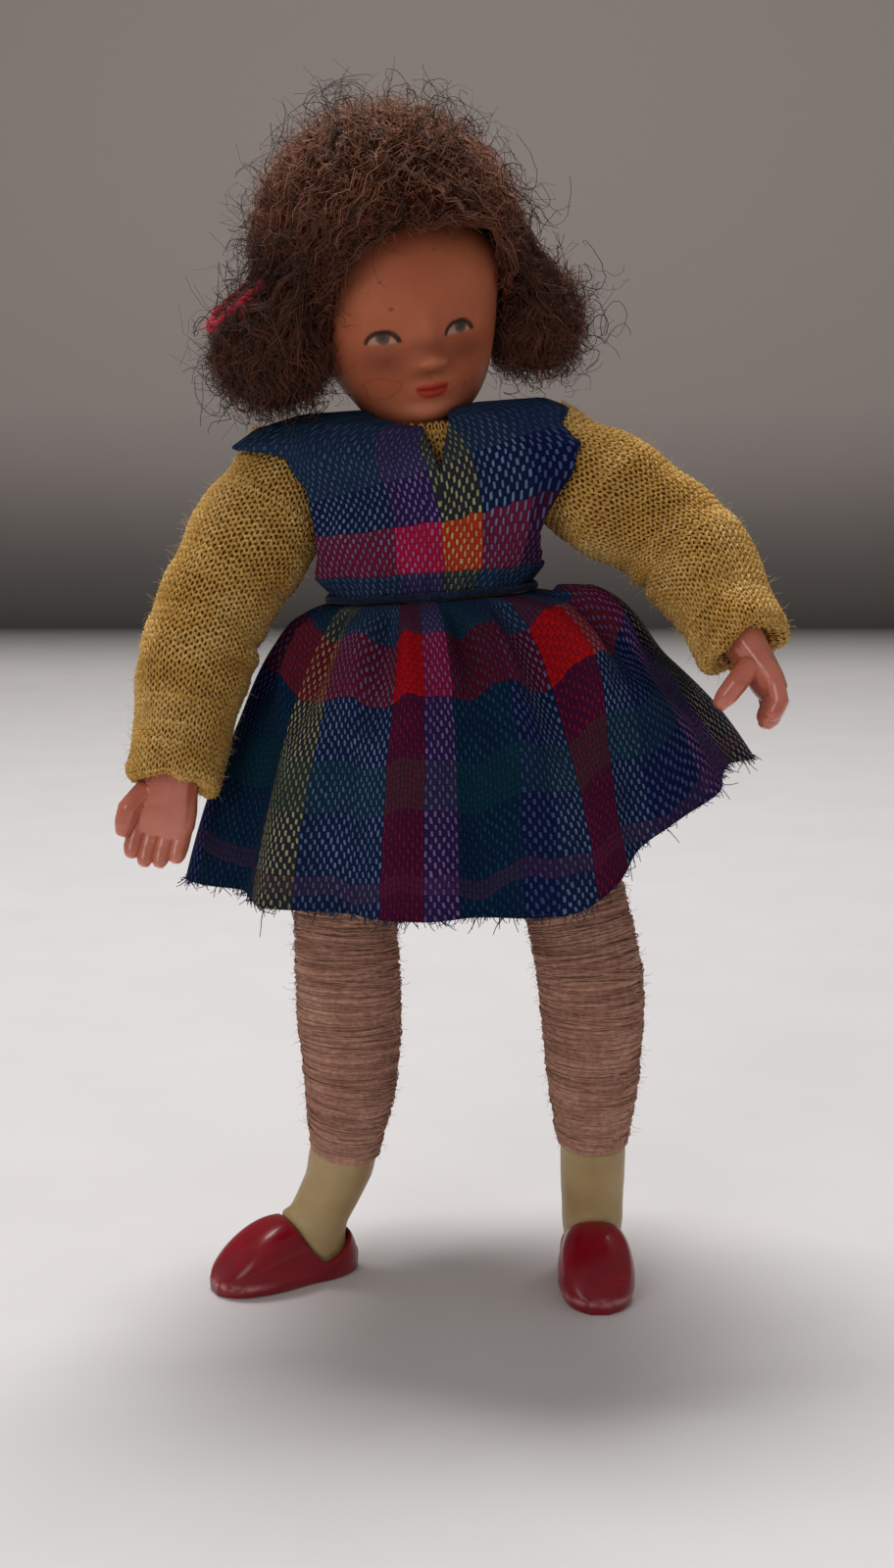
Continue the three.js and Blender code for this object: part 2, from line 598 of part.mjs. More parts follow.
function sleeveStations(path, inset) {
  const [, elbow, wrist] = path.stops;
  const swell = CREASE_DEPTH / SLEEVE_ELBOW_RADIUS;
  const crease = (phase) => (angle) => swell * Math.max(0, Math.cos(angle + phase));
  const upper = [
    ...roundedEnd(0, SLEEVE_SHOULDER_RADIUS - inset, -1),
    [elbow * 0.42, SLEEVE_UPPER_RADIUS - inset, crease(0.6)],
    [elbow * 0.66, SLEEVE_UPPER_RADIUS - 0.45 - inset, crease(2.4)],
    [elbow * 0.82, SLEEVE_ELBOW_RADIUS + 0.15 - inset, crease(4.0)],
    [elbow - CLEARANCE / 2, SLEEVE_ELBOW_RADIUS - inset],
  ];
  const reach = wrist - elbow;
  const lower = [
    [elbow + CLEARANCE / 2, SLEEVE_ELBOW_RADIUS - inset],
    [elbow + reach * 0.2, SLEEVE_ELBOW_RADIUS + 0.15 - inset, crease(1.2)],
    [elbow + reach * 0.45, SLEEVE_ELBOW_RADIUS - 0.2 - inset, crease(3.1)],
    [elbow + reach * 0.75, SLEEVE_CUFF_RADIUS - 0.1 - inset, crease(5.0)],
    [wrist, SLEEVE_CUFF_RADIUS - 0.1 - inset],
    [wrist + SLEEVE_OVERHANG * 0.5, SLEEVE_CUFF_RADIUS + 0.25 - inset],
    [wrist + SLEEVE_OVERHANG, SLEEVE_CUFF_RADIUS - inset],
  ];
  return { upper, lower };
}

function sleeve(path, half, side) {
  const outer = sweep(SLEEVE_SIDES, along(path, sleeveStations(path, 0)[half]));
  const stations = sleeveStations(path, JERSEY_WALL)[half];
  const [, elbow, wrist] = path.stops;
  if (half === 'upper') {
    stations[stations.length - 1][0] = elbow + 1;
  } else {
    stations[0][0] = elbow - 1;
    stations[stations.length - 1][0] = wrist + SLEEVE_OVERHANG + 1;
  }
  const shell = outer.subtract(sweep(SLEEVE_SIDES, along(path, stations)));
  if (half === 'lower') {
    return shell;
  }
  const shoulder = path.at(0).point;
  const towardsBody = shoulder.clone().setX(shoulder.x - side * 2 * SLEEVE_SHOULDER_RADIUS);
  return shell.subtract(wire([shoulder, towardsBody], SLEEVE_SHOULDER_RADIUS * 0.55, 1));
}

function addArm(side) {
  const word = side < 0 ? 'right' : 'left';
  const path = armRoute(side);
  const [shoulder, elbow, wrist] = path.stops;
  const pivot = path.at(shoulder).point;
  const upperWinding = windingAlong(path, [
    ...roundedEnd(0, ARM_WINDING_RADIUS, -1),
    [elbow * 0.5, ARM_WINDING_RADIUS + 0.2],
    [elbow - CLEARANCE / 2, ARM_WINDING_RADIUS],
  ], 0, elbow + 1).subtract(seat(pivot)).subtract(crossWireSeat(side));
  const lowerWinding = windingAlong(path, [
    [elbow + CLEARANCE / 2, ARM_WINDING_RADIUS],
    [(elbow + wrist) / 2, ARM_WINDING_RADIUS - 0.3],
    [wrist - 1.7, ARM_WINDING_WRIST_RADIUS],
  ], elbow - 1, wrist);
  const upperWire = rod(path, WIRE_STEP, elbow, WIRE_RADIUS, 3, false, true);
  const lowerWire = rod(path, elbow + WIRE_STEP, wrist, WIRE_RADIUS, 3, false, true);
  doll.add(
    named(`shoulder_wire_${word}`, bead(pivot), steelWire()),
    named(`upper_arm_wire_${word}`, upperWire, steelWire()),
    named(`upper_arm_winding_${word}`, upperWinding, cottonPadding()),
    named(`sleeve_upper_${word}`, sleeve(path, 'upper', side), mustardJersey()),
    named(`forearm_wire_${word}`, lowerWire, steelWire()),
    named(`forearm_winding_${word}`, lowerWinding, cottonPadding()),
    named(`sleeve_lower_${word}`, sleeve(path, 'lower', side), mustardJersey()),
    hand(side, path.at(wrist).point, word),
  );
}

// Moulded hand in its own frame: wrist pivot at the origin, fingers down, palm towards -Y
function hand(side, wrist, word) {
  const curl = side < 0 ? RIGHT_FINGER_CURL : LEFT_FINGER_CURL;
  const rows = [
    [-1, 0.85, 0.52],
    [-0.8, 1, 0.66],
    [-0.56, 0.96, 0.76],
    [-0.28, 0.83, 0.9],
    [-0.04, 0.77, 1],
    [0.16, 0.68, 0.93],
  ];
  const palm = sweep(10, rows.map(([z, a, b]) => (
    level(z * PALM_LENGTH, a * PALM_HALF_WIDTH, b * PALM_HALF_DEPTH)
  )), 2.3);
  const fingers = FINGER_LENGTHS.map((length, i) => finger(
    new THREE.Vector3(side * FINGER_PITCH * (1.5 - i), 0, FINGER_RADIUS - PALM_LENGTH),
    length,
    curl,
  ));
  const thumbPoints = side < 0
    ? [[0.34, 0.06, 0.38], [0.5, 0.16, 0.66], [0.52, 0.16, 1.12]]
    : [[0.3, 0.16, 0.46], [0.36, 0.54, 0.62], [0.26, 0.88, 0.76]];
  const thumb = digit(thumbPoints.map(([x, y, z]) => (
    new THREE.Vector3(side * x, -y, -z).multiplyScalar(PALM_LENGTH)
  )), THUMB_RADIUS);
  const socket = seat(new THREE.Vector3()).add(sweep(WIRE_SIDES, [
    level(0, WIRE_RADIUS + CLEARANCE, WIRE_RADIUS + CLEARANCE),
    level(1.2, 1.25, 1.25),
  ]));
  const whole = fingers.reduce((shape, one) => shape.add(one), palm).add(thumb).subtract(socket);
  const mesh = named(`hand_${word}`, whole, fleshPlastic());
  const up = side < 0 ? new THREE.Vector3(0.24, 0.13, 0.96) : new THREE.Vector3(-0.5, 0.25, 0.83);
  const back = side < 0 ? new THREE.Vector3(0, 1, 0) : new THREE.Vector3(0.83, 0.2, 0.55);
  up.normalize();
  const across = back.clone().cross(up).normalize();
  mesh.quaternion.setFromRotationMatrix(
    new THREE.Matrix4().makeBasis(across, up.clone().cross(across), up),
  );
  mesh.position.copy(wrist);
  return mesh;
}

function finger(root, length, curl) {
  const half = length / 2;
  const bend = radians(curl);
  const knuckle = root.clone().add(new THREE.Vector3(0, -half * Math.sin(bend * 0.35), -half));
  const tip = knuckle.clone().add(new THREE.Vector3(0, -half * Math.sin(bend), -half * Math.cos(bend)));
  return digit([root, knuckle, tip], FINGER_RADIUS);
}

function digit(points, radius) {
  const path = route(points);
  return sweep(7, along(path, [
    [0, radius],
    [path.length * 0.5, radius * 1.02],
    [path.length * 0.8, radius * 0.92],
    [path.length, radius * 0.55],
  ]));
}

// Legs
function addLeg(points, word, turn, heelOut) {
  const path = route(points);
  const [hip, , knee, , ankle] = path.stops;
  const pivot = path.at(hip).point;
  const thigh = windingAlong(path, [
    ...roundedEnd(0, THIGH_RADIUS, -1),
    [knee * 0.45, THIGH_RADIUS],
    [knee * 0.8, THIGH_RADIUS],
    [knee - CLEARANCE / 2, KNEE_RADIUS],
  ], 0, knee + 1).subtract(seat(pivot));
  const forkSide = pelvisFork(WIRE_RADIUS + CLEARANCE);
  const reach = ankle - knee;
  const shin = windingAlong(path, [
    [knee + CLEARANCE / 2, KNEE_RADIUS],
    [knee + reach * 0.18, KNEE_RADIUS - 0.05],
    [knee + reach * 0.42, CALF_RADIUS + 0.25],
    [knee + reach * 0.66, CALF_RADIUS - 0.1],
    [knee + reach * 0.86, ANKLE_RADIUS + 0.3],
    [ankle - ANKLE_GAP, ANKLE_RADIUS],
  ], knee - 1, ankle);
  const thighWire = rod(path, WIRE_STEP, knee, WIRE_RADIUS, 4, false, true);
  const shinWire = rod(path, knee + WIRE_STEP, ankle, WIRE_RADIUS, 4, false, true);
  doll.add(
    named(`hip_wire_${word}`, bead(pivot), steelWire()),
    named(`thigh_wire_${word}`, thighWire, steelWire()),
    named(`thigh_winding_${word}`, thigh.subtract(forkSide), fleshYarn()),
    named(`shin_wire_${word}`, shinWire, steelWire()),
    named(`shin_winding_${word}`, shin, fleshYarn()),
  );
  addFoot(path.at(ankle).point, word, turn, heelOut);
}

// The outline of a shoe at a distance back from the toe: half-width and height of the cross-section
function lastSection(y, inset) {
  const whole = SHOE_TOE + SHOE_HEEL;
  const t = (y + SHOE_TOE) / whole;
  const round = Math.sqrt(Math.max(0, 1 - Math.abs(2 * t - 1) ** 3.2));
  const waistline = 1 - 0.14 * Math.exp(-(((t - 0.62) / 0.16) ** 2)) - 0.1 * smooth(t, 0.6, 1);
  const instep = SHOE_INSTEP * smooth(t, -0.25, 0.48);
  return { half: SHOE_HALF_WIDTH * waistline * round - inset, height: instep * round ** 0.8 - inset };
}

function last(inset, floor) {
  const form = new THREE.SphereGeometry(1, 14, 10);
  const toe = -SHOE_TOE + 1.5 * inset;
  const heel = SHOE_HEEL - 1.5 * inset;
  const solid = toSolid(mould(form, (p) => {
    const y = THREE.MathUtils.lerp(toe, heel, (1 - Math.cos(Math.acos(p.y))) / 2);
    const ring = Math.hypot(p.x, p.z) || 1;
    const { half, height } = lastSection(THREE.MathUtils.clamp(y, toe + 0.15, heel - 0.15), inset);
    const pole = Math.abs(p.y) > 0.9999 ? 0 : 1;
    const rise = p.z / ring;
    const z = rise > 0 ? 1.3 + (height - 1.3) * power(rise, 0.85) : 1.3 + 2.2 * rise;
    return new THREE.Vector3(-half * power(p.x / ring, 0.85) * pole, y, pole ? z : 1.3);
  }));
  return solid.intersect(block(
    new THREE.Vector3(-SHOE_TOE, -2 * SHOE_TOE, floor),
    new THREE.Vector3(SHOE_TOE, SHOE_TOE, 2 * SHOE_TOE),
  ));
}

// Mouth of the shoe: deep at the arch, up to the vamp in front and to the heel counter behind
function shoeMouth(margin) {
  const vamp = -VAMP_EDGE + margin;
  const heel = SHOE_HEEL - 0.2 - margin;
  const dip = SIDE_DIP + margin;
  const outline = new THREE.Shape();
  outline.moveTo(vamp - 0.4, SHOE_INSTEP + 3);
  outline.lineTo(vamp, SHOE_INSTEP);
  outline.quadraticCurveTo(vamp + 1.4, dip + 0.6, -0.2, dip);
  outline.quadraticCurveTo(heel - 1.4, dip + 0.5, heel, SHOE_HEEL_HEIGHT + margin);
  outline.lineTo(heel + 4, SHOE_HEEL_HEIGHT + margin);
  outline.lineTo(heel + 4, SHOE_INSTEP + 3);
  outline.closePath();
  const depth = 6 * SHOE_HALF_WIDTH;
  const cutter = new THREE.ExtrudeGeometry(outline, { depth, bevelEnabled: false, curveSegments: 4 });
  return toSolid(mould(cutter, (p) => new THREE.Vector3(p.z - depth / 2, p.x, p.y)));
}

function shoe() {
  return last(0, 0).subtract(last(SHOE_WALL, SOLE_THICKNESS)).subtract(shoeMouth(0));
}

// Foot casting with its sock; the wire's end is held in a cup at the top of the ankle
function foot(top, sway) {
  const rise = top.z + 0.6;
  const cuff = top.z - SOCK_CUFF_DEPTH;
  const shaft = top.z - SOCK_SHAFT_DEPTH;
  const column = sweep(12, [
    level(1.6, SOCK_HALF_WIDTH - 0.5, SOCK_HALF_DEPTH - 0.6, 0, 0),
    level(4.4, SOCK_HALF_WIDTH - 0.1, SOCK_HALF_DEPTH - 0.2, 0, -0.2),
    level(shaft, SOCK_HALF_WIDTH - 0.05, SOCK_HALF_DEPTH - 0.15, sway.x * 0.4, sway.y * 0.4),
    level(cuff, SOCK_HALF_WIDTH + 0.05, SOCK_HALF_DEPTH - 0.1, sway.x * 0.8, sway.y * 0.8),
    level(rise, SOCK_HALF_WIDTH + 0.1, SOCK_HALF_DEPTH, sway.x, sway.y),
  ]);
  const instep = ellipsoid(new THREE.Vector3(0, -1.6, 2.6), new THREE.Vector3(2.3, 3.6, 3.1), 12, 8)
    .intersect(block(
      new THREE.Vector3(-SHOE_TOE, -SHOE_TOE, 2),
      new THREE.Vector3(SHOE_TOE, SHOE_TOE, SHOE_TOE),
    ));
  const inset = SHOE_WALL + CLEARANCE;
  const inner = last(inset, SOLE_THICKNESS + CLEARANCE);
  const shoeWall = last(-CLEARANCE, -1).subtract(inner).subtract(shoeMouth(CLEARANCE));
  const cup = seat(new THREE.Vector3(sway.x, sway.y, top.z)).add(sweep(WIRE_SIDES, [
    level(top.z, WIRE_RADIUS + CLEARANCE, WIRE_RADIUS + CLEARANCE, sway.x, sway.y),
    level(rise + 0.3, 1.3, 1.3, sway.x, sway.y),
  ]));
  return column.add(instep).add(inner).subtract(shoeWall).subtract(cup);
}

function addFoot(ankle, word, turn, heelOut) {
  const heel = new THREE.Vector3(ankle.x + Math.sign(ankle.x) * heelOut, ankle.y - 0.2, 0);
  const back = new THREE.Quaternion().setFromAxisAngle(Z_AXIS, -radians(turn));
  const sway = ankle.clone().sub(heel).setZ(0).applyQuaternion(back);
  const parts = [
    named(`foot_${word}`, foot(ankle, sway), creamSock()),
    named(`shoe_${word}`, shoe(), crimsonPlastic()),
  ];
  parts.forEach((mesh) => {
    mesh.position.copy(heel);
    mesh.rotation.z = radians(turn);
    doll.add(mesh);
  });
}

// Head: a moulded child's face with full cheeks, button nose, small mouth and shallow eye hollows
function faceRelief(x, z) {
  const bump = (cx, cz, width, height, size) => (
    size * Math.exp(-(((x - cx) / width) ** 2) - (((z - cz) / height) ** 2))
  );
  const nose = bump(0, NOSE_TIP_Z, 0.85, 0.9, NOSE_RELIEF) + bump(0, NOSE_BRIDGE_Z, 0.7, 1.6, 0.35);
  const pairs = [-1, 1].map((side) => (
    bump(side * CHEEK_X, CHEEK_Z, CHEEK_HALF_WIDTH, CHEEK_HALF_WIDTH, CHEEK_RELIEF)
      - bump(side * EYE_X, EYE_Z, EYE_HALF_WIDTH, 1.0, EYE_HOLLOW)
  ));
  const mouth = bump(0, MOUTH_Z, 1.6, 0.75, LIP_RELIEF) - bump(0, (MOUTH_Z + CHIN_Z) / 2, 1.8, 0.5, 0.3);
  const chin = bump(0, CHIN_Z, CHIN_HALF_WIDTH, 1.2, CHIN_RELIEF);
  const brow = bump(0, BROW_Z, 4.5, 2.6, BROW_RELIEF);
  return nose + pairs[0] + pairs[1] + mouth + chin + brow;
}

function headForm() {
  const form = new THREE.SphereGeometry(1, 26, 20);
  form.rotateX(Math.PI / 2);
  return toSolid(mould(form, (p) => {
    const jaw = 1 - JAW_TAPER * smooth(-p.z, 0.2, 1);
    const x = HEAD_HALF_WIDTH * p.x * jaw;
    const z = HEAD_HALF_HEIGHT * p.z;
    const front = smooth(-p.y, 0.1, 0.6);
    const nape = p.y > 0 ? 1 - 0.25 * smooth(-p.z, 0.3, 1) : 1;
    return new THREE.Vector3(x, HEAD_HALF_DEPTH * p.y * nape - front * faceRelief(x, z), z);
  }));
}

function headShell() {
  const neckFoot = NECK_IN_HEAD.z + NECK_LENGTH;
  const offset = NECK_IN_HEAD;
  const neck = sweep(12, [
    level(neckFoot, NECK_RADIUS, NECK_RADIUS, offset.x, offset.y),
    level(-4, NECK_RADIUS, NECK_RADIUS, offset.x, offset.y),
  ]);
  const hollow = ellipsoid(new THREE.Vector3(0, 0.4, 0.3), new THREE.Vector3(
    HEAD_HALF_WIDTH - HEAD_WALL * 1.6,
    HEAD_HALF_DEPTH - HEAD_WALL * 1.6,
    HEAD_HALF_HEIGHT - HEAD_WALL * 1.6,
  ), 12, 8);
  const bore = sweep(12, [
    level(neckFoot - 4, NECK_HOLE_RADIUS, NECK_HOLE_RADIUS, offset.x, offset.y),
    level(-3, NECK_HOLE_RADIUS, NECK_HOLE_RADIUS, offset.x, offset.y),
  ]);
  return headForm().add(neck).subtract(hollow).subtract(bore);
}

// Plug that fills the neck and turns on the wire
function neckPlug() {
  const radius = NECK_HOLE_RADIUS - CLEARANCE;
  const bore = WIRE_RADIUS + CLEARANCE;
  const foot = NECK_IN_HEAD.z + WIRE_STEP;
  const profile = [
    new THREE.Vector2(bore, foot),
    new THREE.Vector2(radius, foot),
    new THREE.Vector2(radius, foot + 4),
    new THREE.Vector2(radius - 0.4, foot + 4.4),
    new THREE.Vector2(bore, foot + 4.4),
    new THREE.Vector2(bore, foot),
  ];
  const turned = new THREE.LatheGeometry(profile, 12);
  turned.rotateX(Math.PI / 2);
  return toSolid(mould(turned, (p) => p.add(new THREE.Vector3(NECK_IN_HEAD.x, NECK_IN_HEAD.y, 0))));
}

function neckWire() {
  const foot = NECK_IN_HEAD.clone().add(new THREE.Vector3(0, 0, WIRE_STEP));
  return wire([foot, foot.clone().add(new THREE.Vector3(0, 0, 5.2))], WIRE_RADIUS, 1);
}

function capForm(grow) {
  return ellipsoid(CAP_CENTRE, new THREE.Vector3(
    CAP_HALF_WIDTH + grow,
    CAP_HALF_DEPTH + grow,
    CAP_HALF_HEIGHT + grow,
  ), 18, 12);
}

function wigCap() {
  const scalp = ellipsoid(new THREE.Vector3(), new THREE.Vector3(
    HEAD_HALF_WIDTH + 1.5 * CLEARANCE,
    HEAD_HALF_DEPTH + 1.8 * CLEARANCE,
    HEAD_HALF_HEIGHT + 1.5 * CLEARANCE,
  ), 18, 12);
  const outline = new THREE.Shape();
  outline.absellipse(0, FACE_CENTRE_Z, FACE_HALF_WIDTH, FACE_HALF_HEIGHT, 0, 2 * Math.PI);
  const depth = 1.4 * CAP_HALF_DEPTH;
  const cutter = new THREE.ExtrudeGeometry(outline, { depth, bevelEnabled: false, curveSegments: 12 });
  const window = toSolid(mould(cutter, (p) => new THREE.Vector3(p.x, -p.z - 1.5, p.y)));
  const nape = block(
    new THREE.Vector3(-2 * CAP_HALF_WIDTH, -2 * CAP_HALF_DEPTH, -2 * CAP_HALF_HEIGHT),
    new THREE.Vector3(2 * CAP_HALF_WIDTH, 2 * CAP_HALF_DEPTH, NAPE_LINE),
  );
  return capForm(0).subtract(scalp).subtract(window).subtract(nape);
}

function bunch(centre, size) {
  return ellipsoid(centre, size, 14, 10).subtract(capForm(CLEARANCE));
}

// Yarn tie round the root of the right bunch
const tieFrame = new THREE.Matrix4().compose(
  RIGHT_BUNCH.clone().addScaledVector(TIE_DIRECTION, TIE_HEIGHT),
  new THREE.Quaternion().setFromUnitVectors(Z_AXIS, TIE_DIRECTION),
  new THREE.Vector3(1, 1, 1),
);

function tieRing(yarn) {
  const ring = new THREE.TorusGeometry(TIE_RING_RADIUS, yarn, 6, 16);
  return toSolid(mould(ring, (p) => p.applyMatrix4(tieFrame)));
}

function rightBunch() {
  return bunch(RIGHT_BUNCH, RIGHT_BUNCH_SIZE).subtract(tieRing(TIE_YARN_RADIUS + CLEARANCE));
}

trunk.add(
  named('spine_wire', armatureCore(WIRE_RADIUS), steelWire()),
  named('torso_padding', trunkPadding(), cottonPadding()),
  named('jumper_body', jumperBody(), mustardJersey()),
  named('dress_bodice', bodice(), navyPlaid()),
);
doll.add(
  named('dress_skirt', skirt(), maroonPlaid()),
  named('pelvis_wire', pelvisFork(WIRE_RADIUS), steelWire()),
  named('pelvis_padding', pelvisPadding(), cottonPadding()),
);
addArm(-1);
addArm(1);
addLeg(RIGHT_LEG, 'right', RIGHT_FOOT_TURN, RIGHT_HEEL_OUT);
addLeg(LEFT_LEG, 'left', LEFT_FOOT_TURN, LEFT_HEEL_OUT);
head.add(
  named('head_shell', headShell(), paintedFace()),
  named('neck_plug', neckPlug(), cork()),
  named('neck_wire', neckWire(), steelWire()),
  named('wig_cap', wigCap(), brownMohair()),
  named('wig_bunch_right', rightBunch(), brownMohair()),
  named('wig_bunch_left', bunch(LEFT_BUNCH, LEFT_BUNCH_SIZE), brownMohair()),
  named('wig_tie', tieRing(TIE_YARN_RADIUS).subtract(capForm(CLEARANCE)), redYarn()),
);

export default doll;
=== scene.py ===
import json
import math

import bmesh
import bpy
import numpy as np
from mathutils import Matrix, Vector


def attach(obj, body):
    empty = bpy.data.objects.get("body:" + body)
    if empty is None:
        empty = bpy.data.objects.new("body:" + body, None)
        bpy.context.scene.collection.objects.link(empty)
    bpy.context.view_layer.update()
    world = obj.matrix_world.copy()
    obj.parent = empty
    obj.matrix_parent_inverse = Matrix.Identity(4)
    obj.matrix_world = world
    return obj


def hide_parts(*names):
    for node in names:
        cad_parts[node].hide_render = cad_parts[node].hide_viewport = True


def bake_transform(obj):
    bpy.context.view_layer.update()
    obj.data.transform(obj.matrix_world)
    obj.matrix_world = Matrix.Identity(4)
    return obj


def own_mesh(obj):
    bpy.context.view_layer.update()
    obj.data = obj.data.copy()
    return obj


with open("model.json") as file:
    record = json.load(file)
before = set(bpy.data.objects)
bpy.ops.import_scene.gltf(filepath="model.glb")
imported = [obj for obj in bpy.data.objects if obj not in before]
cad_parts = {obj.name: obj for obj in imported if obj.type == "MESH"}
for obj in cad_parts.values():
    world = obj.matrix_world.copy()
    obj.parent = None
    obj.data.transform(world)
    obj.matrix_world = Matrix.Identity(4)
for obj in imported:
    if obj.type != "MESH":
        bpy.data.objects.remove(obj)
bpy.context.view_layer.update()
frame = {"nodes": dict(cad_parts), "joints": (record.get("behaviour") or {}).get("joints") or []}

# Sizes are in millimetres unless a name says otherwise
MM = 0.001
TURN = 2 * math.pi

# Trunk frame: middle of the waist seam, rolled a little to the doll's right
WAIST = np.array([-1.3, 0.0, 56.1])
TRUNK_ROLL = -4
WAIST_HALF = (8.0, 6.0)
CHEST_HALF = (10.6, 7.2)
BODICE_SQUARENESS = 2.8
SLIT_CENTRE = 1.3
SHOULDER_HALF_SPAN = 10.9
SHOULDER_RISE = 8.85

# Skirt, as the solid has it
HEM_LOW = 34.2
HEM_LIFT = 9.3
HEM_LIFT_FULL, HEM_LIFT_NONE = 20, 82
HEM_HALF = (21.2, 18.0)
HEM_CENTRE = (1.8, -0.3)
SKIRT_BELLY = 0.55
FOLD_COUNT = 11
FOLD_DEPTH = 1.0
PUFF_RISE, PUFF_ANGLE, PUFF_SPREAD = 1.5, -12, 24
CLOTH_THICKNESS = 0.32
WARP_PITCH, WEFT_PITCH = 0.3, 0.47

# Limbs: routes from joint to joint
ARM_JOINTS = {
    "right": [None, (-18.4, -4.0, 53.7), (-20.5, -7.8, 43.4)],
    "left": [None, (17.9, -3.0, 59.7), (21.6, -8.0, 53.4)],
}
LEG_JOINTS = {
    "right": [(-6.7, 0, 45.6), (-8.1, -0.7, 32.5), (-8.0, -1.0, 24.6), (-7.9, -0.5, 17.0), (-8.5, 0.6, 10.3)],
    "left": [(5.7, 0, 45.6), (9.8, -0.7, 32.5), (11.3, -1.0, 25.8), (11.7, -0.4, 18.0), (11.9, 1.2, 10.3)],
}
SIDES = {"right": -1, "left": 1}

# Head frame: middle of the head, face towards -Y
HEAD_CENTRE = np.array([-3.6, 0.5, 77.6])
HEAD_TURN, HEAD_NOD, HEAD_TILT = 15, 15.5, -10.5
HEAD_HALF = np.array([7.1, 7.4, 8.6])
JAW_TAPER = 0.14
CAP_CENTRE = np.array([0.0, 1.8, 4.2])
CAP_HALF = np.array([10.4, 10.0, 10.7])
FACE_HALF = (6.5, 8.7)
FACE_CENTRE_Z = -1.6
BUNCHES = {
    "right": (np.array([-10.4, -0.6, -1.25]), np.array([4.9, 4.8, 4.8])),
    "left": (np.array([10.6, -0.4, -2.4]), np.array([3.9, 4.0, 4.4])),
}
BUNCH_SHIFT = {"right": (0, 0, 0), "left": (-0.8, -0.5, -0.3)}
TIE_DIRECTION = np.array([-0.45, 0.05, 0.89])
TIE_HEIGHT = 4.0
TIE_RADIUS = 2.6

THINNING, FLYAWAY_SHARE = ((1.0, 1.0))


def rotation(degrees, axis):
    return np.array(Matrix.Rotation(math.radians(degrees), 3, axis))


TRUNK_AXES = rotation(TRUNK_ROLL, "Y")
HEAD_AXES = rotation(HEAD_TILT, "Y") @ rotation(HEAD_TURN, "Z") @ rotation(HEAD_NOD, "X")


def from_trunk(points):
    return np.asarray(points) @ TRUNK_AXES.T + WAIST


def into_trunk(points):
    return (np.asarray(points) - WAIST) @ TRUNK_AXES


def from_head(points):
    return np.asarray(points) @ HEAD_AXES.T + HEAD_CENTRE


def into_head(points):
    return (np.asarray(points) - HEAD_CENTRE) @ HEAD_AXES


for word, side in SIDES.items():
    shoulder = from_trunk([side * SHOULDER_HALF_SPAN, 0, SHOULDER_RISE])
    ARM_JOINTS[word][0] = tuple(shoulder)


# Small helpers for arrays of points
def unit(vectors):
    return vectors / np.maximum(np.linalg.norm(vectors, axis=-1, keepdims=True), 1e-9)


def ease(x, low, high):
    t = np.clip((np.asarray(x, float) - low) / (high - low), 0, 1)
    return t * t * (3 - 2 * t)


def bell(x, centre, width):
    return np.exp(-(((x - centre) / width) ** 2))


def signed_power(x, exponent):
    return np.sign(x) * np.abs(x) ** exponent


def full_turn(columns):
    """Angles of evenly spaced columns, once round."""
    return np.arange(columns) * TURN / columns


TANGENT_REACH = 0.4


class Limb:
    """Centre line of an arm or a leg, measured along its length."""

    def __init__(self, joints, steps=60):
        joints = np.array(joints, float)
        around = np.vstack([2 * joints[0] - joints[1], joints, 2 * joints[-1] - joints[-2]])
        spans = [self.span(*around[i:i + 4], steps) for i in range(len(joints) - 1)]
        self.points = np.vstack([*spans, joints[-1:]])
        steps_taken = np.linalg.norm(np.diff(self.points, axis=0), axis=1)
        self.along = np.concatenate([[0], np.cumsum(steps_taken)])
        self.length = self.along[-1]
        self.stops = [self.along[i * steps] for i in range(len(joints))]

    @staticmethod
    def span(before, start, end, after, steps):
        d0, d1, d2 = (np.linalg.norm(b - a) ** 0.5 for a, b in ((before, start), (start, end), (end, after)))
        leave = ((start - before) / d0 - (end - before) / (d0 + d1) + (end - start) / d1) * d1
        arrive = ((end - start) / d1 - (after - start) / (d1 + d2) + (after - end) / d2) * d1
        t = np.linspace(0, 1, steps, endpoint=False)[:, None]
        return (
            (2 * t**3 - 3 * t**2 + 1) * start + (t**3 - 2 * t**2 + t) * leave
            + (3 * t**2 - 2 * t**3) * end + (t**3 - t**2) * arrive
        )

    def on_line(self, s):
        return np.stack([np.interp(s, self.along, self.points[:, i]) for i in range(3)], -1)

    def at(self, s):
        """Centre, tangent and two cross directions at distances s."""
        s = np.asarray(s, float)
        inside = np.clip(s, 0, self.length)
        place = self.on_line(inside)
        back, ahead = (np.clip(inside + step, 0, self.length) for step in (-TANGENT_REACH, TANGENT_REACH))
        tangent = unit(self.on_line(ahead) - self.on_line(back))
        centre = place + tangent * (s - inside)[..., None]
        across = np.array([1.0, 0, 0])
        first = unit(across - tangent * (tangent @ across)[..., None])
        return centre, tangent, first, np.cross(first, tangent)

    def surface(self, s, angle, radius):
        centre, _, first, second = self.at(s)
        spoke = np.cos(angle)[..., None] * first + np.sin(angle)[..., None] * second
        return centre + np.asarray(radius)[..., None] * spoke

    def ring(self, s, angle, radius):
        """Round section at one distance."""
        return self.surface(np.full(angle.shape, s), angle, np.full(angle.shape, radius))

    def blend_ends(self, s, reach):
        """Points at a reach below and above a distance, in metres."""
        return [tuple(self.at(s + step)[0] * MM) for step in (-reach, reach)]


# Meshes
def grid_faces(rows, columns, closed_rows=False):
    """Quads of a grid whose columns close on themselves."""
    r = np.arange(rows if closed_rows else rows - 1)[:, None]
    c = np.arange(columns)[None, :]
    down, over = (r + 1) % rows, (c + 1) % columns
    corners = (r * columns + c, r * columns + over, down * columns + over, down * columns + c)
    return np.stack(np.broadcast_arrays(*corners), -1).reshape(-1, 4)


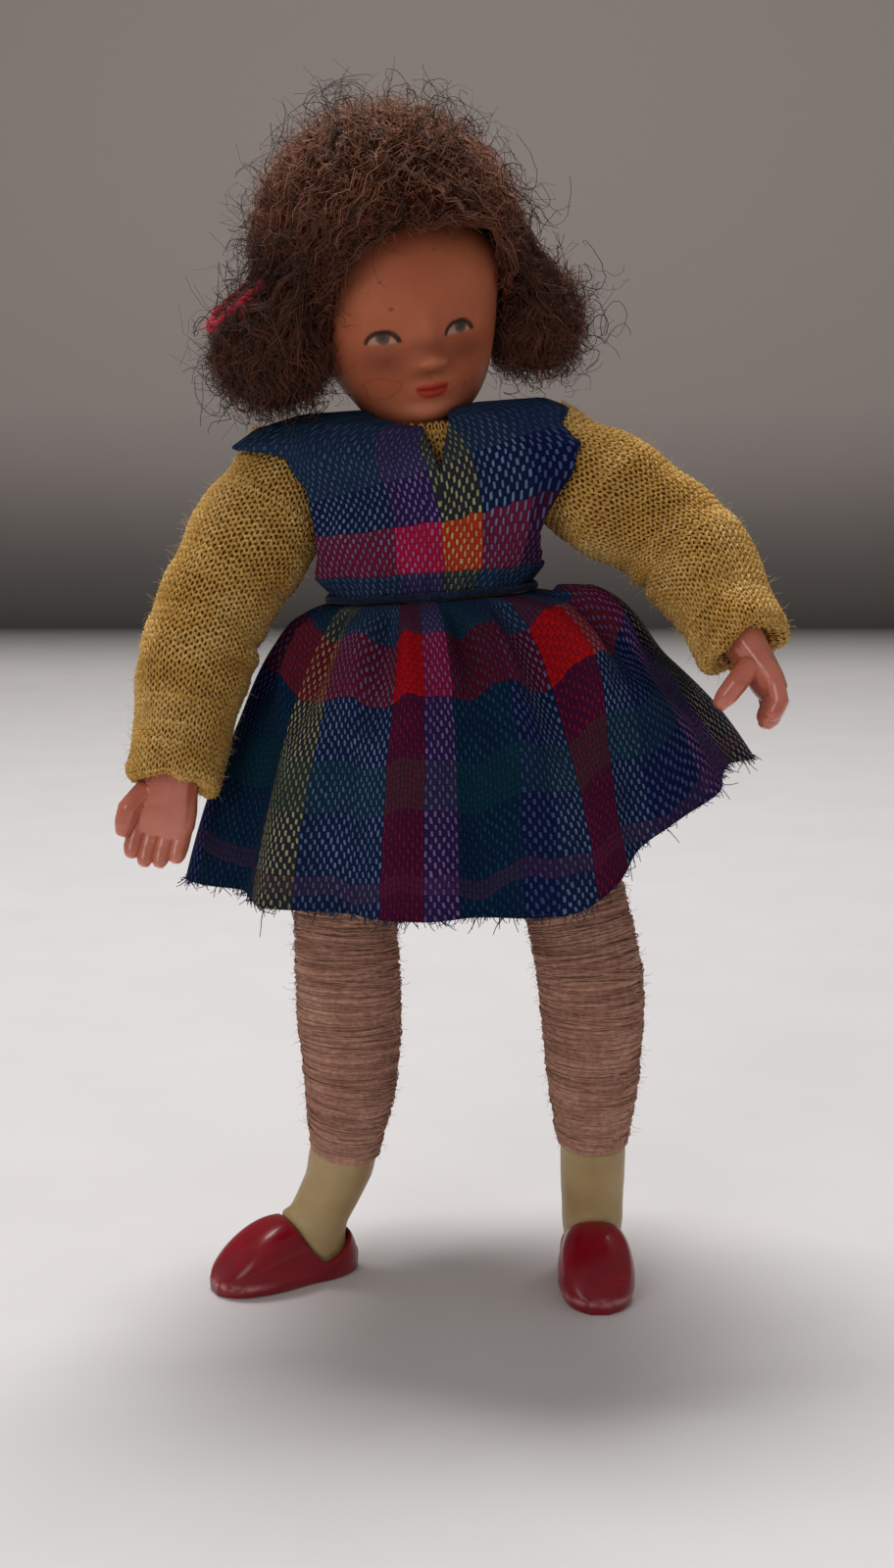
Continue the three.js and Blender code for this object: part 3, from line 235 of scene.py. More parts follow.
def linked(name, data):
    """New object of the scene."""
    made = bpy.data.objects.new(name, data)
    bpy.context.scene.collection.objects.link(made)
    return made


def mesh_object(name, vertices, faces):
    mesh = bpy.data.meshes.new(name)
    mesh.from_pydata((np.asarray(vertices) * MM).tolist(), [], [list(map(int, f)) for f in faces])
    mesh.validate()
    mesh.shade_smooth()
    return linked(name, mesh)


def solid_of_rows(name, rows):
    """Closed solid skinned over rings of points, first ring to last, with a pole at each end."""
    count, columns, _ = rows.shape
    vertices = np.vstack([rows.reshape(-1, 3), rows[0].mean(0)[None], rows[-1].mean(0)[None]])
    faces = grid_faces(count, columns).tolist()
    first, last = count * columns, count * columns + 1
    for c in range(columns):
        over = (c + 1) % columns
        faces.append([over, c, first])
        faces.append([(count - 1) * columns + c, (count - 1) * columns + over, last])
    return mesh_object(name, vertices, faces)


def point_outwards(piece):
    """Turns the faces so that the closed mesh encloses a positive volume."""
    mesh = piece.data
    mesh.calc_loop_triangles()
    corners = np.zeros(len(mesh.loop_triangles) * 3, np.int32)
    mesh.loop_triangles.foreach_get("vertices", corners)
    places = vertex_places(piece)[corners.reshape(-1, 3)]
    volume = np.einsum("ij,ij->i", places[:, 0], np.cross(places[:, 1], places[:, 2])).sum()
    if volume < 0:
        mesh.flip_normals()
    return piece


def vertex_places(piece):
    places = np.zeros(len(piece.data.vertices) * 3, np.float32)
    piece.data.vertices.foreach_get("co", places)
    return places.reshape(-1, 3).astype(float) / MM


def set_places(piece, places):
    piece.data.vertices.foreach_set("co", (np.asarray(places) * MM).astype(np.float32).ravel())
    piece.data.update()


def vertex_normals(piece):
    normals = np.zeros(len(piece.data.vertices) * 3, np.float32)
    piece.data.vertex_normals.foreach_get("vector", normals)
    return normals.reshape(-1, 3).astype(float)


def set_mask(piece, name, values):
    attribute = piece.data.attributes.new(name, "FLOAT", "POINT")
    attribute.data.foreach_set("value", np.asarray(values, np.float32))


def set_cloth_map(piece, across, along, period):
    """UV map in millimetres; across repeats after a period, so a face at the seam is unwrapped."""
    mesh = piece.data
    corners = np.zeros(len(mesh.loops), np.int32)
    mesh.loops.foreach_get("vertex_index", corners)
    sizes = np.zeros(len(mesh.polygons), np.int32)
    mesh.polygons.foreach_get("loop_total", sizes)
    firsts = np.zeros(len(mesh.polygons), np.int32)
    mesh.polygons.foreach_get("loop_start", firsts)
    u = np.asarray(across)[corners]
    lead = np.repeat(u[firsts], sizes)
    u = u - period * np.round((u - lead) / period)
    layer = mesh.uv_layers.new(name="cloth")
    layer.data.foreach_set("uv", np.stack([u, np.asarray(along)[corners]], -1).astype(np.float32).ravel())


def give(piece, material):
    piece.data.materials.clear()
    piece.data.materials.append(material)
    return piece


def core_of_rings(name, rings, material):
    return point_outwards(give(solid_of_rows(name, np.array(rings)), material))


def plain_mesh(piece):
    """Bakes the modifiers of a piece into its mesh and removes them."""
    graph = bpy.context.evaluated_depsgraph_get()
    graph.update()
    mesh = bpy.data.meshes.new_from_object(
        piece.evaluated_get(graph), preserve_all_data_layers=True, depsgraph=graph,
    )
    mesh.name = piece.name
    piece.modifiers.clear()
    piece.data = mesh
    return piece


def melt(piece, voxel, rounds):
    """Turns a piece into one even skin, with its edges relaxed in rounds."""
    remesh = piece.modifiers.new("remesh", "REMESH")
    remesh.mode, remesh.voxel_size = "VOXEL", voxel * MM
    relax = piece.modifiers.new("relax", "SMOOTH")
    relax.iterations, relax.factor = rounds, 0.5
    plain_mesh(piece)


def softened_copy(solid, name, voxel, rounds, shrink=0.0):
    """Copy of a CAD node with its facets melted into a fine even skin."""
    copy = linked(name, frame["nodes"][solid].data.copy())
    copy.data.name = name
    weld = copy.modifiers.new("weld", "WELD")
    weld.merge_threshold = 1e-6
    melt(copy, voxel, rounds)
    if shrink:
        set_places(copy, vertex_places(copy) - shrink * vertex_normals(copy))
    copy.data.shade_smooth()
    return copy


# Geometry Nodes
def new_tree(name, inputs):
    """Geometry node tree with a geometry and named inputs, and the sockets that give them."""
    tree = bpy.data.node_groups.new(name, "GeometryNodeTree")
    tree.interface.new_socket("Geometry", in_out="OUTPUT", socket_type="NodeSocketGeometry")
    for label, kind in {"Geometry": "Geometry", **inputs}.items():
        tree.interface.new_socket(label, in_out="INPUT", socket_type=f"NodeSocket{kind}")
    return tree, node(tree, "NodeGroupInput").outputs


class Value:
    """Number of a node tree. Arithmetic on it adds Math nodes to the tree."""

    def __init__(self, tree, socket):
        self.tree, self.socket = tree, socket

    def __add__(self, other):
        return calc(self.tree, "ADD", self, other)

    def __sub__(self, other):
        return calc(self.tree, "SUBTRACT", self, other)

    def __rsub__(self, other):
        return calc(self.tree, "SUBTRACT", other, self)

    def __mul__(self, other):
        return calc(self.tree, "MULTIPLY", self, other)

    __radd__, __rmul__ = __add__, __mul__


def link(tree, value, socket):
    tree.links.new(value.socket if isinstance(value, Value) else value, socket)


def node(tree, kind, inputs=None, **settings):
    made = tree.nodes.new(kind)
    for key, value in settings.items():
        setattr(made, key, value)
    for key, value in (inputs or {}).items():
        if isinstance(value, (Value, bpy.types.NodeSocket)):
            link(tree, value, made.inputs[key])
        else:
            made.inputs[key].default_value = value
    return made


def calc(tree, operation, *values):
    made = node(tree, "ShaderNodeMath", dict(enumerate(values)), operation=operation)
    return Value(tree, made.outputs[0])


def vector_calc(tree, operation, a, b=None, scale=None):
    inputs = {0: a}
    if b is not None:
        inputs[1] = b
    if scale is not None:
        inputs["Scale"] = scale
    return node(tree, "ShaderNodeVectorMath", inputs, operation=operation).outputs[0]


def centred_noise(tree, inputs, **settings):
    """Colour noise from -0.5 to 0.5 in each of its channels."""
    made = node(tree, "ShaderNodeTexNoise", inputs, **settings)
    return vector_calc(tree, "SUBTRACT", made.outputs["Color"], (0.5, 0.5, 0.5))


def finish_curves(tree, curves, radius, sides, material):
    """Gives curves a round closed section, a material and real geometry."""
    profile = node(tree, "GeometryNodeCurvePrimitiveCircle", {"Resolution": sides, "Radius": 1.0})
    solid = node(tree, "GeometryNodeCurveToMesh", {
        "Curve": curves, "Profile Curve": profile.outputs[0], "Scale": radius, "Fill Caps": True,
    })
    smooth = node(tree, "GeometryNodeSetShadeSmooth", {"Geometry": solid.outputs[0]})
    real = node(tree, "GeometryNodeRealizeInstances", {"Geometry": smooth.outputs[0]})
    done = node(tree, "GeometryNodeSetMaterial", {"Geometry": real.outputs[0], "Material": material})
    node(tree, "NodeGroupOutput", {0: done.outputs[0]})


def strand_tree():
    """Round strands along the edges of a mesh: yarn, thread and hair."""
    tree, given = new_tree("strands", {
        "Radius": "Float", "Sides": "Int", "Frizz": "Float", "Frizz Scale": "Float", "Seed": "Float",
        "Material": "Material",
    })
    curves = node(tree, "GeometryNodeMeshToCurve", {"Mesh": given["Geometry"]})
    loose, thickness = (
        node(tree, "GeometryNodeInputNamedAttribute", {"Name": name}, data_type="FLOAT").outputs[0]
        for name in ("loose", "thickness")
    )
    centred = centred_noise(tree, {
        "Scale": given["Frizz Scale"], "W": given["Seed"], "Detail": 1.0,
    }, noise_dimensions="4D")
    offset = vector_calc(tree, "SCALE", centred, scale=calc(tree, "MULTIPLY", given["Frizz"], loose))
    frizzed = node(tree, "GeometryNodeSetPosition", {"Geometry": curves.outputs[0], "Offset": offset})
    radius = calc(tree, "MULTIPLY", given["Radius"], thickness)
    finish_curves(tree, frizzed.outputs[0], radius, given["Sides"], given["Material"])
    return tree


def nap_tree():
    """Short bent fibres that stand on a surface: fuzz, nap and stray hair."""
    tree, given = new_tree("nap", {
        "Density": "Float", "Length": "Float", "Radius": "Float", "Lean": "Float", "Curl": "Float",
        "Curl Scale": "Float", "Points": "Int", "Seed": "Int", "Material": "Material",
    })
    roots = node(tree, "GeometryNodeDistributePointsOnFaces", {
        "Mesh": given["Geometry"], "Density": given["Density"], "Seed": given["Seed"],
    })
    aside = node(tree, "FunctionNodeRandomValue", {
        0: (-1.0, -1.0, -1.0), 1: (1.0, 1.0, 1.0), "Seed": given["Seed"],
    }, data_type="FLOAT_VECTOR")
    lean = vector_calc(tree, "SCALE", aside.outputs[0], scale=given["Lean"])
    direction = vector_calc(tree, "ADD", roots.outputs["Normal"], lean)
    turned = node(tree, "FunctionNodeAlignRotationToVector", {"Vector": direction}, axis="Z")
    size = node(tree, "FunctionNodeRandomValue", {2: 0.35, 3: 1.0, "Seed": given["Seed"]}, data_type="FLOAT")
    line = node(tree, "GeometryNodeCurvePrimitiveLine", {"Start": (0, 0, 0), "End": (0, 0, 1)})
    fine = node(tree, "GeometryNodeResampleCurve", {"Curve": line.outputs[0], "Count": given["Points"]})
    standing = node(tree, "GeometryNodeInstanceOnPoints", {
        "Points": roots.outputs["Points"], "Instance": fine.outputs[0], "Rotation": turned.outputs[0],
        "Scale": calc(tree, "MULTIPLY", size.outputs[1], given["Length"]),
    })
    real = node(tree, "GeometryNodeRealizeInstances", {"Geometry": standing.outputs[0]})
    along = Value(tree, node(tree, "GeometryNodeSplineParameter").outputs["Factor"])
    centred = centred_noise(tree, {"Scale": given["Curl Scale"], "Detail": 0.0})
    offset = vector_calc(tree, "SCALE", centred, scale=along * given["Curl"] * given["Length"])
    curled = node(tree, "GeometryNodeSetPosition", {"Geometry": real.outputs[0], "Offset": offset})
    finish_curves(tree, curled.outputs[0], (1.0 - along * 0.6) * given["Radius"], 3, given["Material"])
    return tree


STRANDS = strand_tree()
NAP = nap_tree()


def run_tree(piece, tree, values):
    modifier = piece.modifiers.new(tree.name, "NODES")
    modifier.node_group = tree
    for item in tree.interface.items_tree:
        if item.item_type == "SOCKET" and item.in_out == "INPUT" and item.name in values:
            modifier[item.identifier] = values[item.name]
    return plain_mesh(piece)


def strands(name, lines, radius, material, sides=4, closed=False, thickness=1.0, loose=1.0, frizz=0.0,
            frizz_scale=800.0, seed=1, masks=None):
    """Strands along lines of points, an array of lines by points by three."""
    count, points, _ = lines.shape
    index = np.arange(count * points).reshape(count, points)
    edges = np.stack([index[:, :-1].ravel(), index[:, 1:].ravel()], -1)
    if closed:
        edges = np.vstack([edges, np.stack([index[:, -1], index[:, 0]], -1)])
    mesh = bpy.data.meshes.new(name)
    mesh.from_pydata((lines.reshape(-1, 3) * MM).tolist(), edges.tolist(), [])
    piece = linked(name, mesh)
    ones = np.ones((count, points))
    for mask, values in {"thickness": thickness, "loose": loose, **(masks or {})}.items():
        set_mask(piece, mask, (values * ones).ravel())
    return run_tree(piece, STRANDS, {
        "Radius": radius * MM, "Sides": sides, "Frizz": frizz * MM, "Frizz Scale": frizz_scale,
        "Seed": float(seed), "Material": material,
    })


def keep_outer(mesh, centre):
    """Leaves a mesh only the faces that look away from a centre."""
    edit = bmesh.new()
    edit.from_mesh(mesh)
    middle = Vector(centre)
    inner = [face for face in edit.faces if face.normal.dot(face.calc_center_median() - middle) <= 0]
    bmesh.ops.delete(edit, geom=inner, context="FACES")
    edit.to_mesh(mesh)
    edit.free()


def nap(name, surface, per_mm2, length, radius, material, lean, curl, points=5, seed=1, curl_scale=1400.0,
        centre=None):
    """Fibres standing on a copy of a piece's surface, or on the side of it that looks away from a centre."""
    piece = linked(name, surface.data.copy())
    if centre is not None:
        keep_outer(piece.data, centre)
    return run_tree(piece, NAP, {
        "Density": per_mm2 * THINNING / MM**2, "Length": length * MM, "Radius": radius * MM, "Lean": lean,
        "Curl": curl, "Curl Scale": curl_scale, "Points": points, "Seed": seed, "Material": material,
    })


def joined(name, pieces):
    """One mesh from several, with their materials."""
    with bpy.context.temp_override(active_object=pieces[0], selected_editable_objects=pieces):
        bpy.ops.object.join()
    pieces[0].name = name
    pieces[0].data.name = name
    return pieces[0]


# Materials
def paint(red, green, blue):
    """Colour as a screen shows it, 0 to 255, in Blender's linear values."""
    shares = [channel / 255 for channel in (red, green, blue)]
    return (*(c / 12.92 if c <= 0.04045 else ((c + 0.055) / 1.055) ** 2.4 for c in shares), 1.0)


def mixed(tree, factor, a, b):
    return node(tree, "ShaderNodeMix", {0: factor, 6: a, 7: b}, data_type="RGBA").outputs[2]


def noise(tree, vector, scale, detail=2.0, roughness=0.5):
    made = node(tree, "ShaderNodeTexNoise", {
        "Vector": vector, "Scale": scale, "Detail": detail, "Roughness": roughness,
    })
    return Value(tree, made.outputs["Fac"])


def ramp(tree, factor, stops, interpolation="LINEAR"):
    made = node(tree, "ShaderNodeValToRGB", {"Fac": factor})
    made.color_ramp.interpolation = interpolation
    elements = made.color_ramp.elements
    while len(elements) < len(stops):
        elements.new(1.0)
    for element, (position, colour) in zip(elements, stops):
        element.position = position
        element.color = colour
    return made.outputs["Color"]


def painted_ramp(tree, factor, stops):
    return ramp(tree, factor, [(position, paint(*colour)) for position, colour in stops])


def grey_ramp(tree, factor, low, high):
    """0 below low, 1 above high."""
    made = node(tree, "ShaderNodeMapRange", {"Value": factor, "From Min": low, "From Max": high})
    return Value(tree, made.outputs[0])


def mask_of(tree, name):
    return Value(tree, node(tree, "ShaderNodeAttribute", attribute_name=name).outputs["Fac"])


def own_place(tree):
    """Place on the piece, in metres."""
    return node(tree, "ShaderNodeTexCoord").outputs["Object"]


def coordinate(tree, place, axis):
    return node(tree, "ShaderNodeSeparateXYZ", {0: place}).outputs[axis]


def new_material(name, **constants):
    """Material with a Principled shader; constants are set on the shader's own sockets."""
    material = bpy.data.materials.new(name)
    material.use_nodes = True
    tree = material.node_tree
    shader = tree.nodes["Principled BSDF"]
    for key, value in constants.items():
        shader.inputs[key.replace("_", " ").title().replace("Ior", "IOR")].default_value = value
    return material, tree, shader


def connect(tree, shader, colour, roughness=None, height=None, depth=0.00005, strength=1.0):
    link(tree, colour, shader.inputs["Base Color"])
    if roughness is not None:
        link(tree, roughness, shader.inputs["Roughness"])
    if height is not None:
        bump = node(tree, "ShaderNodeBump", {"Height": height, "Distance": depth, "Strength": strength})
        link(tree, bump.outputs[0], shader.inputs["Normal"])


def shader_group(name, label, kind):
    """New node group with one input, and the socket of that input."""
    group = bpy.data.node_groups.new(name, "ShaderNodeTree")
    group.interface.new_socket(label, in_out="INPUT", socket_type=kind)
    return group, node(group, "NodeGroupInput").outputs[0]


def with_results(group, values):
    """The group with its results, numbers by their names."""
    for label in values:
        group.interface.new_socket(label, in_out="OUTPUT", socket_type="NodeSocketFloat")
    node(group, "NodeGroupOutput", values)
    return group


def plain_weave_group():
    """Plain weave on cloth coordinates in millimetres: a thin warp thread shows as dashes on a soft weft."""
    group, cloth = shader_group("plain weave", "Cloth", "NodeSocketVector")
    count = vector_calc(group, "MULTIPLY", cloth, (1 / WARP_PITCH, 1 / WEFT_PITCH, 1.0))
    wander = centred_noise(group, {"Vector": count, "Scale": 0.3, "Detail": 1.0})
    drift = vector_calc(group, "SCALE", wander, scale=THREAD_WANDER)
    threads = vector_calc(group, "ADD", count, drift)
    u, v = (coordinate(group, threads, axis) for axis in "XY")
    whole_u, whole_v = calc(group, "FLOOR", u), calc(group, "FLOOR", v)
    over = calc(group, "FLOORED_MODULO", whole_u + whole_v, 2.0)

    def from_middle(value):
        return calc(group, "ABSOLUTE", value - 0.5) * 2.0

    slant = (calc(group, "FRACT", v) - 0.5) * -DASH_SLANT
    side = from_middle(calc(group, "FRACT", u) + slant)
    end = from_middle(calc(group, "FRACT", v))
    dash = grey_ramp(group, side, 0.76, 0.42) * grey_ramp(group, end, 1.0, 0.7)
    crown = over * dash
    weft = calc(group, "POWER", calc(group, "MAXIMUM", 1.0 - end, 0.001), 0.45)
    # Crown is where the warp's lit colour shows with its painted highlight; Hollow, where the weave beside it gets
    # painted shade
    return with_results(group, {
        "Crown": crown, "Height": weft * 0.6 + crown * 0.7, "Hollow": over * (1.0 - dash),
        "Warp Place": (whole_u + 0.5) * WARP_PITCH, "Weft Place": (whole_v + 0.5) * WEFT_PITCH,
    })


def fibre_group():
    """Fine spun fibre: a streaky value and a height."""
    group, scale = shader_group("spun fibre", "Scale", "NodeSocketFloat")
    place = own_place(group)
    fine = noise(group, place, scale, 3.0)
    return with_results(group, {"Value": fine * 0.6 + noise(group, place, 260.0) * 0.4, "Height": fine})


THREAD_WANDER = 1.2
DASH_SLANT = 0.12
PLAIN_WEAVE = plain_weave_group()
SPUN_FIBRE = fibre_group()

# Threads of the plaid. Each warp thread has a shaded and a lit colour: deep, as painted shade, where it lies under
# the weft, and light where it crosses over, partly its own paler colour and partly a painted highlight on its crown
STEEL_WARP = (paint(18, 40, 70), paint(122, 142, 184))
NAVY_WARP = (paint(12, 24, 66), paint(84, 104, 156))
PURPLE_WARP = (paint(62, 38, 96), paint(166, 126, 184))
OLIVE_WARP = (paint(60, 62, 30), paint(206, 198, 140))
CREAM_WARP = (paint(36, 34, 26), paint(190, 180, 146))
RED_WARP = (paint(104, 6, 24), paint(140, 24, 40))
TEAL_WARP = (paint(6, 42, 62), paint(30, 78, 92))
SLATE_WEFT = paint(34, 56, 84)
NAVY_WEFT = paint(8, 20, 64)
RED_WEFT = paint(176, 12, 36)
MAROON_WEFT = paint(118, 8, 30)
TEAL_WEFT = paint(12, 50, 66)
PLUM_WEFT = paint(64, 34, 72)
# Near-black for painted shade in the hollows of the weave, and for darker tone at random
DARK_TONE_AND_SHADE = paint(8, 10, 20)
WARP_IN_GROUND = 0.42
HOLLOW_SHADE = 0.55
LEAST_CROWN = 0.12


def plaid(name, warp, weft, shown, red_row, warp_range, weft_range):
    """Woven plaid: dashes of coloured warp on stripes of coloured weft. The red row has its own ground."""
    material, tree, shader = new_material(name, roughness=0.95, specular_ior_level=0.08)
    cloth = node(tree, "ShaderNodeUVMap", uv_map="cloth").outputs[0]
    weave = node(tree, "ShaderNodeGroup", {"Cloth": cloth}, node_tree=PLAIN_WEAVE).outputs
    crown, height, hollow = (Value(tree, weave[label]) for label in ("Crown", "Height", "Hollow"))

    def striped(threads, limits, stops):
        """Hard-edged stripes that start at places in millimetres and repeat after their range."""
        low, high = limits
        share = node(tree, "ShaderNodeMapRange", {
            "Value": weave[threads], "From Min": low, "From Max": high,
        }, clamp=False).outputs[0]
        stops = [((start - low) / (high - low), colour) for start, colour in stops]
        return ramp(tree, calc(tree, "FLOORED_MODULO", share, 1.0), stops, "CONSTANT")

    # Shaded and lit colours of the warp: painted shade under the weft, painted highlight on the crowns
    deep = striped("Warp Place", warp_range, [(start, under) for start, (under, _) in warp])
    light = striped("Warp Place", warp_range, [(start, over) for start, (_, over) in warp])
    across = striped("Weft Place", weft_range, weft)
    ground = mixed(tree, WARP_IN_GROUND, across, deep)
    row_start, row_end, reds = red_row
    down = weave["Weft Place"]
    in_row = calc(tree, "GREATER_THAN", down, row_start) * calc(tree, "LESS_THAN", down, row_end)
    red_ground = striped("Warp Place", warp_range, [(start, paint(*colour)) for start, colour in reds])
    ground = mixed(tree, in_row, ground, red_ground)
    across = mixed(tree, in_row, across, red_ground)
    place = own_place(tree)
    uneven = grey_ramp(tree, noise(tree, place, 4200.0, 3.0), 0.3, 0.7)
    ground = mixed(tree, uneven * 0.4, ground, mixed(tree, 0.6, ground, DARK_TONE_AND_SHADE))
    # Painted shade in the hollows of the weave beside each warp crown
    ground = mixed(tree, hollow * HOLLOW_SHADE, ground, DARK_TONE_AND_SHADE)
    strength = calc(tree, "MAXIMUM", noise(tree, place, 420.0, 3.0) * 1.75 - 0.15, LEAST_CROWN)
    greys = [(start, (share, share, share, 1.0)) for start, share in shown]
    visible = striped("Weft Place", weft_range, greys)
    crown = calc(tree, "MINIMUM", crown * (strength * visible), 1.0)
    # Warp crowns show the lit colour, partly the thread's paler colour and partly a painted highlight
    colour = mixed(tree, crown, ground, mixed(tree, 0.22, light, across))
    broad = grey_ramp(tree, noise(tree, place, 150.0, 3.0), 0.35, 0.75)
    colour = mixed(tree, broad * 0.35, colour, mixed(tree, 0.5, colour, DARK_TONE_AND_SHADE))
    height = height + noise(tree, place, 7000.0) * 0.35
    connect(tree, shader, colour, height=height, depth=0.00012, strength=0.85)
    return material


def spun(name, base, light, dark, scale=3000.0, sheen=0.08):
    """Matt spun yarn, streaked from a dark to a light shade of its colour."""
    material, tree, shader = new_material(
        name, roughness=0.95, sheen_weight=sheen, sheen_roughness=0.5, specular_ior_level=0.15,
    )
    fibre = node(tree, "ShaderNodeGroup", {"Scale": scale}, node_tree=SPUN_FIBRE).outputs
    colour = painted_ramp(tree, fibre["Value"], [(0.32, dark), (0.5, base), (0.68, light)])
    connect(tree, shader, colour, height=fibre["Height"], depth=0.00004, strength=0.6)
    return material


# Heights over which painted light pales the top of the wig, in metres
WIG_TOP_LIGHT_M = (0.081, 0.091)
SUBSURFACE_SCALE = 0.0012


def hair_material(name, root, middle, tip, roughness=0.6, shine=0.2, top_light=0.0):
    """Hair or thread that pales along its length, with the strand's own shade as its masks give it, and pales on
    top of the wig as painted light.
    """
    material, tree, shader = new_material(name, roughness=roughness, specular_ior_level=shine)
    place = own_place(tree)
    along = mask_of(tree, "reach") * 0.65 + mask_of(tree, "shade") * 0.5
    painted_top_light = grey_ramp(tree, coordinate(tree, place, "Z"), *WIG_TOP_LIGHT_M) * top_light
    speckle = noise(tree, place, 900.0) * 0.3
    colour = painted_ramp(tree, along + painted_top_light + speckle, [(0.15, root), (0.6, middle), (1.0, tip)])
    connect(tree, shader, colour)
    return material


def moulded(name, base, deep, worn, roughness, coat=0.0, subsurface=0.0):
    """Moulded plastic with soft colour variation, fine scratches and worn high spots."""
    material, tree, shader = new_material(
        name, coat_weight=coat, coat_roughness=0.12, subsurface_weight=subsurface,
        subsurface_scale=SUBSURFACE_SCALE,
    )
    place = own_place(tree)
    broad = noise(tree, place, 240.0, 3.0)
    stretched = node(tree, "ShaderNodeMapping", {
        "Vector": place, "Rotation": (0.5, 0.9, 0.3), "Scale": (0.18, 2.4, 1.0),
    }).outputs[0]
    scratch = grey_ramp(tree, noise(tree, stretched, 1500.0, 2.0, 0.6), 0.66, 0.74)
    marks = scratch * grey_ramp(tree, noise(tree, place, 420.0, 1.0), 0.5, 0.65)
    colour = mixed(tree, grey_ramp(tree, broad, 0.35, 0.7), paint(*base), paint(*deep))
    colour = mixed(tree, marks * 0.55, colour, paint(*worn))
    rough = noise(tree, place, 2600.0) * 0.14 + (roughness - 0.05)
    connect(tree, shader, colour, rough, broad * 0.6 - marks * 0.15, depth=0.00012, strength=0.35)
    return material, tree, shader, colour


def sock_material():
    material, tree, shader = new_material("sock cream", coat_weight=0.15, coat_roughness=0.35)
    place = own_place(tree)
    broad = noise(tree, place, 220.0, 3.0)
    colour = painted_ramp(tree, broad, [
        (0.3, (168, 138, 90)), (0.55, (184, 156, 108)), (0.75, (194, 170, 126)),
    ])
    fine = noise(tree, place, 1600.0, 3.0)
    connect(tree, shader, colour, fine * 0.2 + 0.42, fine, depth=0.00004, strength=0.4)
    return material


def shoe_material():
    """Glossy crimson, rubbed in patches along the welt."""
    material, tree, shader, colour = moulded(
        "shoe crimson", (150, 4, 30), (122, 3, 22), (186, 60, 70), 0.3, coat=0.25,
    )
    patchy = grey_ramp(tree, noise(tree, own_place(tree), 1500.0, 3.0), 0.3, 0.6)
    rubbed = mask_of(tree, "welt") * patchy * 0.75
    link(tree, mixed(tree, rubbed, colour, paint(206, 140, 138)), shader.inputs["Base Color"])
    shader.inputs["Specular IOR Level"].default_value = 0.3
    return material


# Painted layers of the face, first to last: mask, colour and strength. Besides the doll's own paint, one layer
# lightens the nose tip and chin as painted light, and one darkens under the eyes and nose with painted shade and
# some grime
FACE_PAINT = (
    ("blush", (172, 84, 52), 0.5), ("shade_and_grime", (104, 46, 24), 0.86), ("painted_light", (214, 138, 106), 0.6),
    ("stain", (92, 50, 34), 0.75), ("sclera", (176, 136, 112), 0.9), ("iris", (84, 64, 58), 0.96),
    ("pupil", (52, 38, 36), 0.7), ("lash", (46, 20, 16), 0.98), ("lips", (176, 44, 24), 0.92),
    ("lip_line", (80, 16, 10), 0.85),
)


def face_material():
    material, tree, shader = new_material(
        "painted face", coat_weight=0.02, coat_roughness=0.4, specular_ior_level=0.25, subsurface_weight=0.06,
        subsurface_scale=SUBSURFACE_SCALE,
    )
    place = own_place(tree)
    broad = noise(tree, place, 150.0, 4.0, 0.6)
    fine = noise(tree, place, 1300.0, 3.0)
    skin = painted_ramp(tree, broad, [(0.25, (168, 88, 58)), (0.5, (178, 98, 66)), (0.75, (187, 108, 76))])
    skin = mixed(tree, grey_ramp(tree, fine, 0.55, 0.75) * 0.2, skin, paint(160, 84, 56))
    brushed = fine * 0.3 + 0.82
    for mask, colour, strength in FACE_PAINT:
        amount = mask_of(tree, mask) * strength * brushed
        skin = mixed(tree, calc(tree, "MINIMUM", amount, 1.0), skin, paint(*colour))
    connect(tree, shader, skin, fine * 0.2 + 0.5, broad + fine * 0.3, depth=0.00008, strength=0.25)
    return material


def wire_material():
    material, tree, shader = new_material("annealed wire", metallic=1.0)
    grain = noise(tree, own_place(tree), 1800.0, 3.0)
    colour = painted_ramp(tree, grain, [(0.3, (120, 116, 110)), (0.7, (168, 164, 158))])
    connect(tree, shader, colour, grain * 0.3 + 0.3, grain, strength=0.3)
    return material


def cork_material():
    material, tree, shader = new_material("cork", roughness=0.9)
    voronoi = node(tree, "ShaderNodeTexVoronoi", {"Vector": own_place(tree), "Scale": 2200.0})
    cells = voronoi.outputs["Distance"]
    colour = painted_ramp(tree, cells, [(0.0, (176, 136, 92)), (0.6, (150, 108, 70)), (0.9, (92, 62, 40))])
    connect(tree, shader, colour, height=cells, depth=0.0001)
    return material


# Where painted shade darkens the table on its way to the wall, and the height to which painted shade darkens the
# wall, in metres
TABLE_SHADE_M = (0.44, 0.62)
WALL_SHADE_M = 0.09


def floor_material():
    """Pale table with painted shade that darkens it towards the wall."""
    material, tree, shader = new_material("pale table", roughness=0.6)
    place = own_place(tree)
    top = painted_ramp(tree, noise(tree, place, 60.0, 4.0), [(0.3, (226, 223, 223)), (0.7, (230, 227, 226))])
    shade_towards_wall = calc(tree, "POWER", grey_ramp(tree, coordinate(tree, place, "Y"), *TABLE_SHADE_M), 1.6)
    connect(tree, shader, mixed(tree, shade_towards_wall, top, paint(74, 71, 69)))
    return material


def wall_material():
    """Grey wall with painted shade that darkens it towards the table."""
    material, tree, shader = new_material("grey wall", roughness=0.95)
    place = own_place(tree)
    rise = grey_ramp(tree, coordinate(tree, place, "Z"), 0.0, WALL_SHADE_M)
    connect(tree, shader, painted_ramp(tree, rise + noise(tree, place, 14.0, 3.0) * 0.08, [
        (0.0, (78, 75, 73)), (0.35, (114, 108, 104)), (0.75, (154, 145, 140)), (1.0, (167, 157, 152)),
    ]))
    return material


